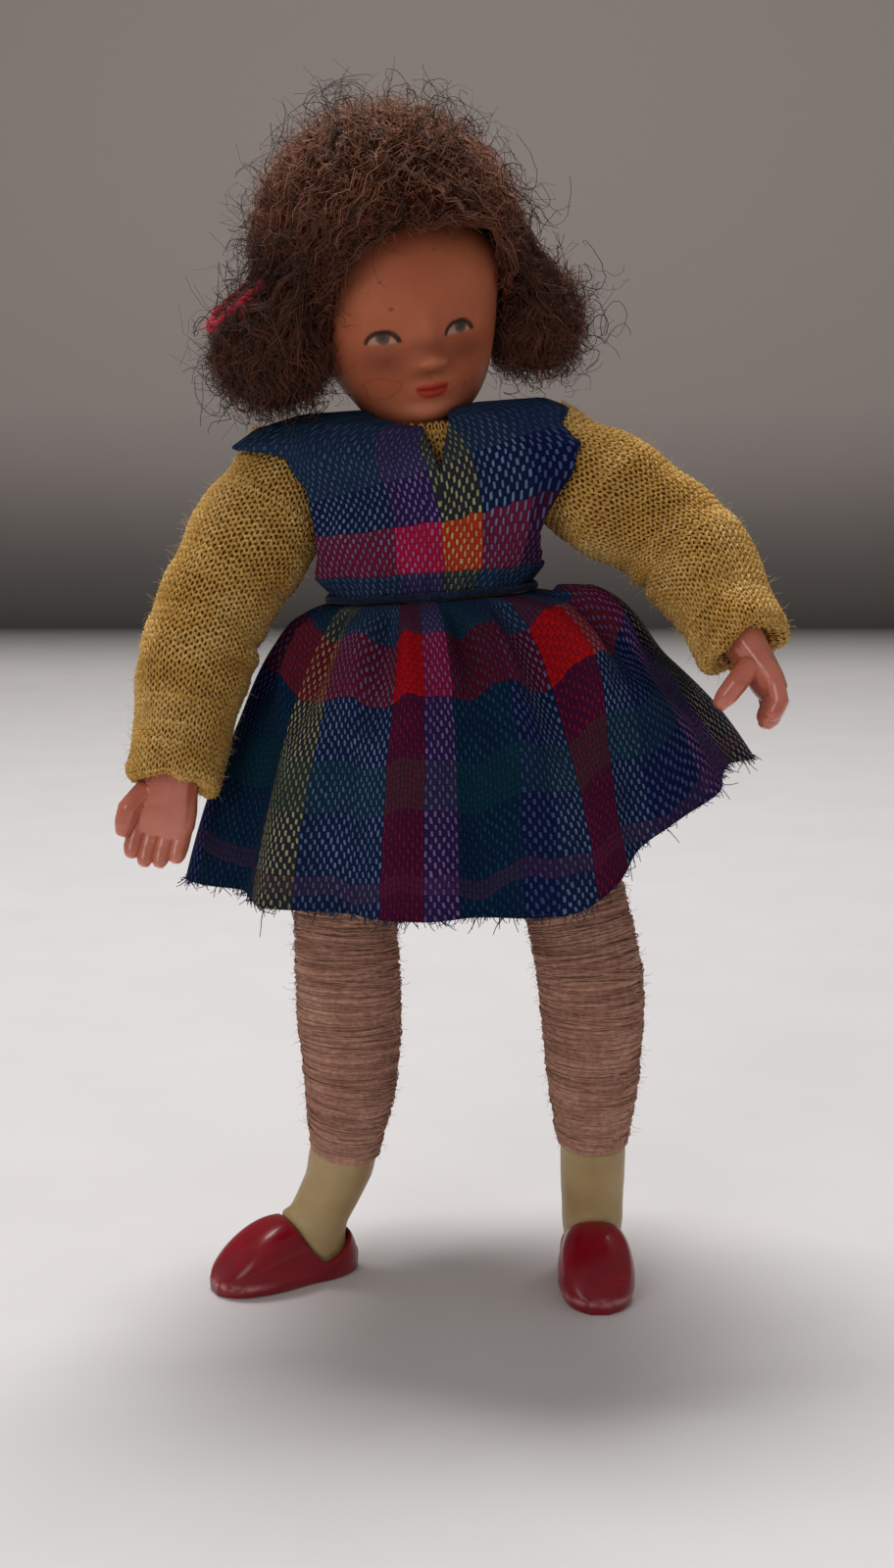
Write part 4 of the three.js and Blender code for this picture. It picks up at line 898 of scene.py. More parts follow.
# Arms: a knitted sleeve in one piece from shoulder to cuff, and the wound padding inside it
SLEEVE_UPPER = ((0.0, 4.2), (0.2, 4.6), (0.42, 4.9), (0.66, 4.45), (0.82, 4.45), (1.0, 4.3))
SLEEVE_LOWER = ((0.2, 4.45), (0.45, 4.1), (0.75, 3.6), (1.0, 3.6))
SLEEVE_TOP_RADIUS = 4.2
SLEEVE_OVERHANG = 1.1
SLEEVE_SEED = {"right": 11, "left": 12}
# Creases by distance from the elbow, width and depth, and each arm's inner side and share of their depth
CREASES = ((-1.9, 0.9, 0.42), (0.2, 0.7, 0.5), (2.1, 0.9, 0.36), (5.6, 1.2, 0.25), (-5.2, 1.3, 0.28))
INNER_ELBOW = {"right": (0.2, 0.5), "left": (2.2, 0.72)}
JERSEY_SINK = 0.16
WALES = 43
COURSE_PITCH = 0.5
STITCH_POINTS = 6
JERSEY_YARN = 0.128
CUFF_ROLL = 0.65
ROLL_END = 0.65 * math.pi
# Reach below and above a joint at which the blend ends are taken
ELBOW_BLEND, KNEE_BLEND = 3.2, 3.4
PROFILE_STEPS, PROFILE_SOFTENING = 200, 8


def limb_profile(limb, upper, lower):
    """Radius along a limb, from shares of its upper and its lower half, softened between them."""
    start, joint, end = limb.stops[0], limb.stops[len(limb.stops) // 2], limb.stops[-1]
    stations = [start + share * (joint - start) for share, _ in upper]
    stations += [joint + share * (end - joint) for share, _ in lower]
    fine = np.linspace(stations[0], stations[-1], PROFILE_STEPS)
    values = np.interp(fine, stations, [radius for _, radius in upper + lower])
    kernel = np.hanning(2 * PROFILE_SOFTENING + 1)
    values = np.convolve(np.pad(values, PROFILE_SOFTENING, mode="edge"), kernel / kernel.sum(), mode="valid")
    return lambda s: np.interp(s, fine, values)


def sleeve_radius(limb, word):
    profile = limb_profile(limb, SLEEVE_UPPER, SLEEVE_LOWER)
    elbow = limb.stops[1]
    inner, share = INNER_ELBOW[word]

    def radius(s, angle):
        total = profile(s)
        for offset, width, depth in CREASES:
            middle = elbow + offset + 0.55 * np.sin(angle - inner + offset)
            facing = 0.35 + 0.65 * ease(np.cos(angle - inner + 0.25 * offset), -0.4, 0.8)
            depth = share * depth * facing
            bulge = 0.45 * bell(s, middle + 1.5 * width, width)
            total = total - depth * (bell(s, middle, width) - bulge)
        return total + 0.07 * np.sin(3 * angle + 0.9 * s) + 0.05 * np.sin(2 * angle - 1.7 * s)

    return radius


def knitted(name, surface, low, high, wales, material, seed):
    """Courses of stocking stitch on a tube; surface takes distances along, angles and heights."""
    t = np.arange(wales * STITCH_POINTS) * (TURN / STITCH_POINTS)
    courses = np.arange(int((high - low) / COURSE_PITCH))
    random = np.random.default_rng(seed)
    angle = (t + 1.05 * np.sin(2 * t)) / wales + random.normal(0, 0.012, (len(courses), 1))
    lift = 0.86 * np.cos(t) + 0.08 * random.normal(0, 1, (len(courses), len(t)))
    s = low + COURSE_PITCH * (courses[:, None] + lift)
    height = 0.085 * np.cos(2 * t) + 0.015 * random.normal(0, 1, s.shape)
    lines = surface(s, angle * np.ones_like(s), height)
    return strands(name, lines, JERSEY_YARN, material, sides=3, closed=True, frizz=0.04, frizz_scale=2500.0,
                   seed=seed)


def rolled_cuff(p, angle, turn_at):
    """Distance along and change of radius for a distance along the fabric, which rolls inward at the cuff."""
    past = np.clip((p - turn_at) / CUFF_ROLL, 0, ROLL_END)
    beyond = np.maximum(p - turn_at - ROLL_END * CUFF_ROLL, 0)
    s = np.minimum(p, turn_at) + CUFF_ROLL * np.sin(past) + math.cos(ROLL_END) * beyond
    uneven = 0.22 * np.sin(2 * angle + 1.0) + 0.14 * np.sin(5 * angle + 0.7) + 0.08 * np.sin(9 * angle)
    change = -CUFF_ROLL * (1 - np.cos(past)) - math.sin(ROLL_END) * beyond
    return s + uneven * ease(p, turn_at - 2.5, turn_at), change


def sleeve(word, materials):
    """Knitted sleeve over a core coloured dark as painted shade between the stitches, from a rounded top at the
    shoulder to its rolled cuff.
    """
    limb = ARMS[word]
    radius = sleeve_radius(limb, word)
    angle = full_turn(72)
    turn_at = limb.stops[2] + SLEEVE_OVERHANG - CUFF_ROLL
    roll_length = ROLL_END * CUFF_ROLL
    top = SLEEVE_TOP_RADIUS
    rings = [
        limb.ring(-top * math.sin(tilt), angle, (top - JERSEY_SINK) * math.cos(tilt))
        for tilt in np.radians(np.linspace(80, 0, 9))
    ]
    for p in np.append(np.arange(0.3, turn_at - 0.1, 0.3), turn_at + np.arange(0, roll_length + 1.4, 0.16)):
        s, change = rolled_cuff(np.full(angle.shape, p), angle, turn_at)
        rings.append(limb.surface(s, angle, radius(s, angle) + change - JERSEY_SINK))
    core = core_of_rings(f"sleeve_core_{word}", rings, materials["jersey_shadow"])

    def surface(p, around, height):
        s, change = rolled_cuff(p, around, turn_at)
        lean = np.clip((p - turn_at) / CUFF_ROLL, 0, ROLL_END)
        reach = radius(s, around) + change - JERSEY_SINK + 0.07 + height * np.cos(lean)
        return limb.surface(s + height * np.sin(lean), around, reach)

    seed = SLEEVE_SEED[word]
    stitches = knitted(f"sleeve_stitches_{word}", surface, -2.4, turn_at + roll_length + 0.9, WALES,
                       materials["jersey"], seed)
    fuzz = nap(f"sleeve_fuzz_{word}", core, 2.2, 1.15, 0.017, materials["jersey_fuzz"], lean=1.8, curl=1.3,
               seed=seed + 10)
    piece = joined(f"sleeve_{word}", [core, stitches, fuzz])
    start, end = limb.blend_ends(limb.stops[1], ELBOW_BLEND)
    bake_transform(piece)
    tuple(start)
    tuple(end)
    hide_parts(f"sleeve_upper_{word}", f"sleeve_lower_{word}")


def winding_lines(limb, low, high, radius, pitch, phase, seed, loose=0.06):
    """One yarn wound round a limb from low to high."""
    random = np.random.default_rng(seed)
    turns = (high - low) / pitch
    count = int(turns * 20)
    angle = np.linspace(0, turns * TURN, count)
    slow, fast = (
        np.interp(angle, np.linspace(0, angle[-1], knots), random.normal(0, 1, knots))
        for knots in (count // 7, count // 3)
    )
    s = low + (high - low) * angle / angle[-1] + 0.3 * pitch * (slow + np.sin(angle + phase))
    s = np.clip(s, low, high)
    return limb.surface(s, angle + phase, radius(s) + loose * fast)[None]


def wound_core(name, limb, low, high, radius, inset, material, round_start=True):
    """Solid that fills a winding from low to high."""
    angle = full_turn(40)
    rings = []
    if round_start:
        for tilt in np.radians(np.linspace(80, 10, 8)):
            reach = (radius(low) - inset) * math.cos(tilt)
            rings.append(limb.ring(low - radius(low) * math.sin(tilt), angle, reach))
    rings += [limb.ring(s, angle, radius(s) - inset) for s in np.arange(low, high, 0.5)]
    rings.append(limb.ring(high, angle, radius(high) - inset - 0.15))
    return core_of_rings(name, rings, material)


def arm_padding(word, materials):
    limb = ARMS[word]
    elbow, wrist = limb.stops[1], limb.stops[2]
    cotton = materials["cotton"]
    for part, low, high, radii in (
        ("upper_arm", 0.0, elbow - 0.2, (3.25, 3.25)), ("forearm", elbow + 0.2, wrist - 1.8, (3.2, 2.4)),
    ):
        def radius(s):
            return np.interp(s, [elbow, wrist], radii)

        core = wound_core(f"{part}_wad_{word}", limb, low, high, radius, 0.3, cotton, part == "upper_arm")
        lines = winding_lines(limb, low, high, radius, 0.5, 0.4, 31)
        yarn = strands(f"{part}_cotton_{word}", lines, 0.22, cotton, sides=4)
        piece = joined(f"{part}_winding_cotton_{word}", [core, yarn])
        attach(piece, f"{part}_{word}")
        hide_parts(f"{part}_winding_{word}")


# Legs: flesh yarn wound over padding, in three plies by pitch and radius
THIGH_RADII = ((0.0, 4.1), (0.45, 4.1), (0.8, 4.1), (1.0, 4.2))
SHIN_RADII = ((0.18, 4.15), (0.42, 3.85), (0.66, 3.5), (0.86, 3.05), (1.0, 2.75))
LEG_PLIES = ((0.4, 0.24), (0.43, 0.21), (0.5, 0.18))
LEG_SEED = {"right": 41, "left": 45}
LEG_LOOSE = 0.07
ANKLE_GAP = {"right": 0.3, "left": 1.1}
ROVING_FIBRES = 36


def leg(word, materials):
    limb = LEGS[word]
    profile = limb_profile(limb, THIGH_RADII, SHIN_RADII)
    end = limb.stops[4] - ANKLE_GAP[word]
    # The core under the windings is a little darker than the yarn, as painted shade between the turns
    pieces = [wound_core(f"leg_core_{word}", limb, 0.0, end, profile, 0.26, materials["leg_shadow"])]
    seed = LEG_SEED[word]
    for i, (pitch, size) in enumerate(LEG_PLIES):
        lines = winding_lines(limb, 0.0, end, lambda s: profile(s) - size, pitch, 1.3 * i, seed + i, LEG_LOOSE)
        pieces.append(strands(f"leg_yarn_{i}_{word}", lines, size, materials["leg_yarn"], sides=4, frizz=0.12,
                              frizz_scale=1300.0, seed=seed + i))
    random = np.random.default_rng(seed)
    for i in range(ROVING_FIBRES):
        low = random.uniform(0, end - 7)
        high = min(low + random.uniform(5, 16), end)
        lines = winding_lines(limb, low, high, lambda s: profile(s) + 0.02, random.uniform(0.9, 2.2),
                              random.uniform(0, TURN), seed + 10 + i, LEG_LOOSE)
        pieces.append(strands(f"leg_fibre_{i}_{word}", lines, 0.05, materials["leg_yarn"], sides=3, frizz=0.3,
                              frizz_scale=1100.0, seed=seed + i))
    fuzz = nap(f"leg_fuzz_{word}", pieces[0], 3.0, 1.1, 0.023, materials["leg_fuzz"], lean=2.2, curl=1.3, seed=seed)
    pieces.append(fuzz)
    piece = joined(f"leg_{word}", pieces)
    start, end = limb.blend_ends(limb.stops[2], KNEE_BLEND)
    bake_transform(piece)
    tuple(start)
    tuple(end)
    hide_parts(f"thigh_winding_{word}", f"shin_winding_{word}")


# Trunk padding and jumper, seen at the neck slit and in the armholes: height, half width and half depth
JUMPER_ROWS = np.array((
    (-0.6, 6.3, 4.4), (2.6, 7.4, 4.9), (4.8, 6.5, 4.9), (7.0, 5.9, 4.9), (8.85, 5.7, 4.75), (11.0, 5.7, 4.3),
    (12.4, 5.3, 4.0), (13.3, 4.6, 3.5),
))
ROUND_SQUARENESS = 2.4
TORSO_RADII = ((0, 4, 8, 12.6), (4.3, 4.3, 4.1, 3.0))


def oval(angle, half_width, half_depth, squareness=ROUND_SQUARENESS):
    x = half_width * signed_power(np.cos(angle), 2 / squareness)
    y = half_depth * signed_power(np.sin(angle), 2 / squareness)
    return x, y


def jumper_place(height, angle, proud):
    half_width, half_depth = (np.interp(height, JUMPER_ROWS[:, 0], JUMPER_ROWS[:, i]) + proud for i in (1, 2))
    x, y = oval(angle, half_width, half_depth)
    return from_trunk(np.stack([x, y + 0.2, height * np.ones_like(x)], -1))


def jumper(materials):
    angle = full_turn(96)
    rings = [jumper_place(height, angle, -JERSEY_SINK - 0.1) for height in np.arange(-0.6, 13.25, 0.35)]
    # The core under the jumper's stitches is coloured dark as painted shade
    core = core_of_rings("jumper_core", rings, materials["jersey_shadow"])
    stitches = knitted("jumper_stitches", lambda s, around, height: jumper_place(s, around, height - 0.06),
                       2.0, 13.1, 68, materials["jersey"], 51)
    piece = joined("jumper_knit", [core, stitches])
    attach(piece, "trunk")
    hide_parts("jumper_body")


def body_padding(materials):
    """Cotton wound round the trunk and the hips, inside the clothes."""
    cotton = materials["cotton"]
    spine = Limb([from_trunk([0, 0.2, height]) for height in (-3.0, 4.0, 9.6)])

    def radius(s):
        return np.interp(s, *TORSO_RADII)

    core = wound_core("torso_wad", spine, 0.0, spine.length, radius, 0.35, cotton, round_start=False)
    lines = winding_lines(spine, 0.0, spine.length, radius, 0.6, 0.0, 61)
    yarn = strands("torso_cotton", lines, 0.25, cotton, sides=4)
    torso = joined("torso_wound_cotton", [core, yarn])
    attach(torso, "trunk")
    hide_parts("torso_padding")
    saddle = softened_copy("pelvis_padding", "hip_wound_cotton", 0.3, 6)
    give(saddle, cotton)
    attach(saddle, "pelvis")
    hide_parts("pelvis_padding")


# Dress. Pleats by angle, depth, width and how far down they reach
HEM_GIRTH = 126.0
SIDE_ROW_RISE = 2.5
PLEATS = (
    (-163, 0.7, 6, 0.6), (-137, 0.8, 6, 0.55), (-112, 0.75, 4.5, 0.5), (-88, 0.6, 3.5, 0.35),
    (-71, 1.25, 5.5, 0.95), (-45, 1.0, 5, 0.5), (-22, 0.8, 5, 0.4), (8, 0.8, 6, 0.5), (34, 0.9, 5, 0.6),
    (62, 0.8, 6, 0.6), (88, 1.0, 5, 0.7), (117, 0.7, 6, 0.5), (142, 0.9, 5, 0.6), (168, 0.7, 5, 0.5),
)
PLEAT_GAIN = 1.7
THREAD_LEAN, THREAD_LEAN_ANGLE, THREAD_LEAN_SPREAD = 17, -48, 38
SKIRT_COLUMNS, SKIRT_ROWS = 350, 60
FRINGE_THREADS = 1100


def from_angle(angle, centre):
    """Signed difference in degrees between an angle and a centre in degrees."""
    difference = angle - np.radians(centre)
    return np.degrees(np.arctan2(np.sin(difference), np.cos(difference)))


def skirt_place(thread, t, inset=0.0):
    """Outer face of the skirt, on the warp thread at an angle of the hem, a share t down from the waist."""
    lean = THREAD_LEAN * bell(from_angle(thread, THREAD_LEAN_ANGLE), 0, THREAD_LEAN_SPREAD) * (1 - t) ** 1.3
    angle = thread + np.radians(lean)
    cosine, sine = np.cos(angle), np.sin(angle)
    top = from_trunk(np.stack([
        cosine * (WAIST_HALF[0] + 0.1), sine * (WAIST_HALF[1] + 0.1), np.full_like(angle, -0.3),
    ], -1))
    lift = HEM_LIFT * (1 - ease(np.abs(from_angle(angle, 0)), HEM_LIFT_FULL, HEM_LIFT_NONE))
    hem = np.stack([
        HEM_CENTRE[0] + cosine * HEM_HALF[0], HEM_CENTRE[1] + sine * HEM_HALF[1], HEM_LOW + lift,
    ], -1)
    spread = (t ** SKIRT_BELLY)[..., None]
    place = top * (1 - spread) + hem * spread
    place[..., 2] = top[..., 2] * (1 - t) + hem[..., 2] * t
    puff = bell(from_angle(angle, PUFF_ANGLE), 0, PUFF_SPREAD) * ease(t, 0, 0.08) * (1 - ease(t, 0.1, 0.4))
    place[..., 2] += PUFF_RISE * puff
    wave = np.cos(FOLD_COUNT * angle + 0.7) + 0.45 * np.cos((FOLD_COUNT - 4) * angle + 2.1)
    depth = FOLD_DEPTH * wave * ease(t, 0.02, 0.75)
    gathers = np.cos(31 * angle + 1.6 * np.sin(5 * angle)) + 0.5 * np.cos(47 * angle + 2.0)
    depth += 0.2 * gathers * ease(t, 0.0, 0.05) * (1 - ease(t, 0.12, 0.45))
    for centre, deep, width, reach in PLEATS:
        away = from_angle(thread, centre + 4 * t)
        ridges = 0.55 * bell(away, 1.9 * width, 1.3 * width) + 0.4 * bell(away, -1.9 * width, width)
        fold = bell(away, 0, width) - ridges
        depth -= PLEAT_GAIN * deep * fold * ease(t, 0.0, 0.07) * (1 - ease(t, 0.3 * reach, reach))
    depth += 0.12 * np.cos(29 * angle + 5 * t) * ease(t, 0.5, 1.0)
    outward = np.stack([cosine, sine, np.zeros_like(angle)], -1)
    return place + outward * (depth - inset)[..., None]


def skirt(materials):
    """Gathered skirt: a closed sheet of cloth, woven along the hem, with its fringe."""
    columns, rows = SKIRT_COLUMNS, SKIRT_ROWS
    angle = (full_turn(columns) - math.pi / 2)[None, :] * np.ones((rows, 1))
    t = (np.linspace(0.0, 1.0, rows) ** 1.3)[:, None] * np.ones((1, columns))
    outer = skirt_place(angle, t)
    inner = skirt_place(angle, t, CLOTH_THICKNESS)
    rings = np.concatenate([outer, inner[::-1]])
    fabric = mesh_object("skirt_plaid", rings.reshape(-1, 3), grid_faces(2 * rows, columns, closed_rows=True))
    point_outwards(fabric)
    steps = np.linalg.norm(np.diff(outer, axis=0), axis=2)
    drop = np.cumsum(np.concatenate([np.zeros((1, columns)), steps]), axis=0)
    drop = drop + SIDE_ROW_RISE * ease(np.abs(from_angle(angle, -90)), 35, 80)
    across = (np.arange(columns) * HEM_GIRTH / columns)[None, :] * np.ones((rows, 1))
    both_faces = [np.concatenate([values, values[::-1]]).ravel() for values in (across, drop)]
    set_cloth_map(fabric, *both_faces, HEM_GIRTH)
    give(fabric, materials["skirt_plaid"])
    fringe = hem_fringe(materials)
    waist_axis, waist_top = tuple(TRUNK_AXES[:, 2]), tuple(from_trunk([0, 0, 0.1]) * MM)
    for piece in (fabric, fringe):
        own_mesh(piece)
        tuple(waist_axis)
        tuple(waist_top)
        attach(piece, "trunk")
    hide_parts("dress_skirt")
    hem_girth = np.linalg.norm(np.diff(outer[-1], axis=0, append=outer[-1][:1]), axis=1).sum() * MM


def hem_fringe(materials):
    """Cut threads that stand out of the raw hem."""
    random = np.random.default_rng(71)
    count = int(FRINGE_THREADS * THINNING)
    angle = random.uniform(0, TURN, count)
    length = random.uniform(0.2, 0.65, count) * np.where(random.random(count) < 0.06, 2.4, 1.0)
    share = np.linspace(0, 1, 6)[None, :, None]
    root = skirt_place(angle, np.full(count, 0.985), CLOTH_THICKNESS / 2)
    below = skirt_place(angle + random.normal(0, 0.012, count), np.ones(count), CLOTH_THICKNESS / 2)
    direction = unit(below - root + random.normal(0, 0.12, (count, 3)))
    bend = random.normal(0, 0.35, (count, 1, 3)) * share**2
    lines = root[:, None] + (direction[:, None] + bend) * share * (length[:, None, None] + 0.3)
    shade = random.random((count, 1))
    return strands("skirt_fringe", lines, 0.055, materials["fringe"], sides=3, masks={"shade": shade},
                   thickness=1 - 0.5 * share[..., 0], frizz=0.15, frizz_scale=1500.0, seed=7)


SLIT_POINT, SLIT_TOP, SLIT_HALF_WIDTH = 7.8, 13.2, 1.7
SLIT_CLOSING = 0.35
NECKLINE_DROP = 1.0


def closed_slit(local):
    """Draws the two sides of the neck slit together and lowers the neckline, as the worn cloth hangs."""
    aside = local[:, 0] - SLIT_CENTRE
    half = SLIT_HALF_WIDTH * np.clip((local[:, 2] - SLIT_POINT) / (SLIT_TOP - SLIT_POINT), 0, 1.2)
    front = ease(-local[:, 1], 1.0, 3.0)
    reach = bell(np.maximum(np.abs(aside) - half, 0), 0, 3.0)
    drawn = local.copy()
    drawn[:, 0] -= np.sign(aside) * SLIT_CLOSING * half * reach * front
    drawn[:, 2] -= 0.6 * bell(aside, 0, 1.1) * bell(local[:, 2], SLIT_POINT, 1.6) * front
    drawn[:, 2] -= NECKLINE_DROP * bell(local[:, 0], -0.6, 3.8) * ease(local[:, 2], 9.5, 13.2) * front
    drawn[:, :2] *= 1 - 0.06 * (1 - ease(local[:, 2:3], 0.3, 2.4))
    return drawn


def bodice(materials):
    """Softened bodice with creases. Its cloth runs round the chest and splits its rows at the slit."""
    fabric = softened_copy("dress_bodice", "bodice_plaid", 0.2, 12)
    local = into_trunk(vertex_places(fabric))
    x, y, z = local.T
    shape = np.arctan2(signed_power(y / CHEST_HALF[1], BODICE_SQUARENESS / 2),
                       signed_power(x / CHEST_HALF[0], BODICE_SQUARENESS / 2))
    fine = np.linspace(-math.pi, math.pi, 721)
    edge = np.stack(oval(fine, *CHEST_HALF, BODICE_SQUARENESS), -1)
    steps = np.concatenate([[0], np.cumsum(np.linalg.norm(np.diff(edge, axis=0), axis=1))])
    girth = steps[-1]
    across = np.interp(shape, fine, steps) - np.interp(-math.pi / 2, fine, steps)
    near_front = ease(-y, 1.5, 4.5) * (1 - ease(np.abs(x), 8, 10))
    across = across + 1.9 * ease(z, 6, 13) * ease(SLIT_CENTRE - x, -0.2, 0.2) * near_front
    along = z - 0.27 * np.clip(x, -9, 9) * ease(z, 3, 10) * ease(-y, 0, 3)
    turned = np.arctan2(y, x)
    waves = np.sin(7 * turned + 2.3 * np.sin(0.5 * z)) * np.sin(0.7 * z + 0.5)
    pull = bell(z, 0.9, 1.3) * np.cos(22 * turned + 1.5 * np.sin(4 * turned))
    outward = np.stack([np.cos(turned), np.sin(turned), np.zeros(len(turned))], -1)
    local = local + outward * (0.09 * waves + 0.18 * pull)[:, None]
    set_places(fabric, from_trunk(closed_slit(local)))
    set_cloth_map(fabric, across, along, girth)
    give(fabric, materials["bodice_plaid"])
    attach(fabric, "trunk")
    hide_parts("dress_bodice")


def waist_seam(materials):
    """The dress's waist seam, a narrow turned ridge of cloth, coloured dark as painted shade of the crease under
    the bodice.
    """
    angle = full_turn(240)
    x, y = oval(angle, WAIST_HALF[0] + 0.06, WAIST_HALF[1] + 0.06)
    ridge = from_trunk(np.stack([x, y, 0.1 + 0.05 * np.sin(9 * angle)], -1))[None]
    piece = strands("waist_seam", ridge, 0.26, materials["seam"], sides=10, closed=True)
    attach(piece, "trunk")


# Hands, feet and shoes
def hands(materials):
    for word in SIDES:
        piece = softened_copy(f"hand_{word}", f"hand_cast_{word}", 0.11, 9, -0.2)
        give(piece, materials["hand"])
        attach(piece, f"hand_{word}")
        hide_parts(f"hand_{word}")


# Shoe, in the frame of a foot: heel's centre over the origin, toe at -Y
FEET = {"right": ((-10.8, 0.4, 0), -62), "left": ((11.9, 1.0, 0), 0)}
SHOE_TOE, SHOE_HEEL, SHOE_HALF_WIDTH, SHOE_INSTEP, SHOE_HEEL_HEIGHT = 9.2, 3.4, 3.0, 5.3, 4.4
SHOE_WALL, SOLE_THICKNESS, VAMP_EDGE, SIDE_DIP = 0.5, 0.8, 2.9, 1.7
SHOE_WAIST = 1.3
WELT_HEIGHT = 0.95
SHOE_VOXEL, SHOE_SMOOTHING = 0.125, 6


def shoe_form(name, inset, floor):
    """Smooth form of the shoe, as the solid has it, set in from the outside by a wall."""
    rows = 90
    steps = (1 - np.cos(np.linspace(0, math.pi, rows + 2)[1:-1])) / 2
    toe, heel = -SHOE_TOE + 1.5 * inset, SHOE_HEEL - 1.5 * inset
    y = (toe + (heel - toe) * steps)[:, None]
    angle = full_turn(72)[None, :]
    t = (np.clip(y, toe + 0.15, heel - 0.15) + SHOE_TOE) / (SHOE_TOE + SHOE_HEEL)
    blunt = np.where(t < 0.5, 4.2, 3.2)
    rounded = np.sqrt(np.maximum(0, 1 - np.abs(2 * t - 1) ** blunt))
    half = SHOE_HALF_WIDTH * (1 - 0.14 * bell(t, 0.62, 0.16) - 0.1 * ease(t, 0.6, 1)) * rounded * 1.04 - inset
    height = SHOE_INSTEP * ease(t, -0.4, 0.48) * rounded**0.8 - inset
    x, rise = half * signed_power(np.cos(angle), 0.72), np.sin(angle)
    upper = SHOE_WAIST + (height - SHOE_WAIST) * signed_power(rise, 0.72)
    z = np.where(rise > 0, upper, SHOE_WAIST + 2.2 * rise)
    rings = np.stack([x, y * np.ones_like(x), np.maximum(z, floor)], -1)
    return point_outwards(solid_of_rows(name, rings))


def mouth_form(name):
    """Block that cuts the shoe's mouth: deep at the arch, up to the vamp in front and the heel behind."""
    def curve(start, bend, end):
        t = np.linspace(0, 1, 16)[:, None]
        start, bend, end = (np.array(p) for p in (start, bend, end))
        return (1 - t) ** 2 * start + 2 * t * (1 - t) * bend + t**2 * end

    heel = SHOE_HEEL - 0.2
    bottom = (-0.2, SIDE_DIP)
    outline = np.vstack([
        [(-VAMP_EDGE - 0.4, SHOE_INSTEP + 3)],
        curve((-VAMP_EDGE, SHOE_INSTEP), (-VAMP_EDGE + 1.4, SIDE_DIP + 0.6), bottom),
        curve(bottom, (heel - 1.4, SIDE_DIP + 0.5), (heel, SHOE_HEEL_HEIGHT))[1:],
        [(heel + 4, SHOE_HEEL_HEIGHT), (heel + 4, SHOE_INSTEP + 3)],
    ])
    sides = [np.column_stack([np.full(len(outline), x), outline]) for x in (-9, 9)]
    return point_outwards(solid_of_rows(name, np.array(sides)))


def carve(piece, *tools):
    """Cuts tools out of a piece and rounds its edges."""
    for tool in tools:
        cut = piece.modifiers.new("cut", "BOOLEAN")
        cut.operation, cut.solver, cut.object = "DIFFERENCE", "EXACT", tool
    melt(piece, SHOE_VOXEL, SHOE_SMOOTHING)
    for tool in tools:
        bpy.data.objects.remove(tool)
    piece.data.shade_smooth()
    return piece


def feet(materials):
    for word in SIDES:
        sock = softened_copy(f"foot_{word}", f"sock_{word}", 0.16, 34, -0.3)
        give(sock, materials["sock"])
        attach(sock, f"foot_{word}")
        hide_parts(f"foot_{word}")
        shoe = carve(shoe_form(f"slipper_{word}", 0, 0), shoe_form("shoe_inside", SHOE_WALL, SOLE_THICKNESS),
                     mouth_form("shoe_mouth"))
        places = vertex_places(shoe)
        facing = ease(np.linalg.norm(vertex_normals(shoe)[:, :2], axis=1), 0.5, 0.9)
        toe = ease(-places[:, 1], 4.0, 8.0)
        set_mask(shoe, "welt", bell(places[:, 2], WELT_HEIGHT, 0.24) * facing * toe)
        heel, turn = FEET[word]
        places = places @ rotation(turn, "Z").T + np.array(heel)
        places[:, 2] = np.maximum(places[:, 2], 0)
        set_places(shoe, places)
        give(shoe, materials["shoe"])
        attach(shoe, f"foot_{word}")
        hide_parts(f"shoe_{word}")


# Head. Relief by place, width, height and depth: nose, bridge, cheeks, sockets, lips, chin, furrow and brow
RELIEF = (
    (0, -2.45, 1.15, 0.8, 1.05), (0, -0.6, 0.7, 1.6, 0.3),
    (3.6, -3.4, 2.0, 2.0, 0.75), (-3.6, -3.4, 2.0, 2.0, 0.75),
    (2.8, -0.5, 1.5, 1.0, -0.45), (-2.8, -0.5, 1.5, 1.0, -0.45),
    (0, -4.8, 1.5, 0.75, 0.5), (0, -7.0, 2.2, 1.1, 0.6), (0, -6.0, 1.6, 0.45, -0.22),
    (0, 3.4, 4.5, 2.6, 0.35),
)
# Finer relief: nostrils, the lip's furrow, mouth, lower lip and lids
FINE_RELIEF = (
    (0.9, -2.75, 0.4, 0.34, 0.3), (-0.9, -2.75, 0.4, 0.34, 0.3),
    (0, -3.75, 0.3, 0.45, -0.12), (0, -4.85, 1.1, 0.13, -0.22), (0, -5.25, 0.85, 0.3, 0.16),
    (2.5, 0.1, 1.4, 0.2, 0.12), (-3.3, 0.1, 1.4, 0.2, 0.12),
)
# Middle of each eye and of its gaze
EYES = ((-3.3, -3.28), (2.45, 2.62))
EYE_HALF, EYE_CORNER, LID_RISE = 1.3, -1.0, 1.05
IRIS_HEIGHT, IRIS_RADIUS, PUPIL_RADIUS = -0.55, 0.5, 0.24
HALF_LIP = 1.28
STAIN_PLACE, STAIN_RADIUS = (-3.6, -4.45), 1.15
SPOTS = ((-3.02, 3.42, 0.12), (-2.57, 1.52, 0.2), (-3.9, 2.7, 0.08), (-2.7, 3.0, 0.07), (1.4, 5.1, 0.09))
LEFT_TEMPLE, LEFT_JAW = 0.24, 0.24
CHIN_DROP = 0.12
HEAD_COLUMNS, HEAD_ROWS = 300, 190
# Neck by height over its pivot and radius
NECK_PROFILE = ((1.8, 2.35), (1.7, 2.6), (1.72, 2.85), (1.95, 3.0), (3.0, 2.95), (4.5, 3.0), (5.6, 3.2))


def relief(x, z, bumps):
    return sum(size * np.exp(-(((x - cx) / w) ** 2) - (((z - cz) / h) ** 2)) for cx, cz, w, h, size in bumps)


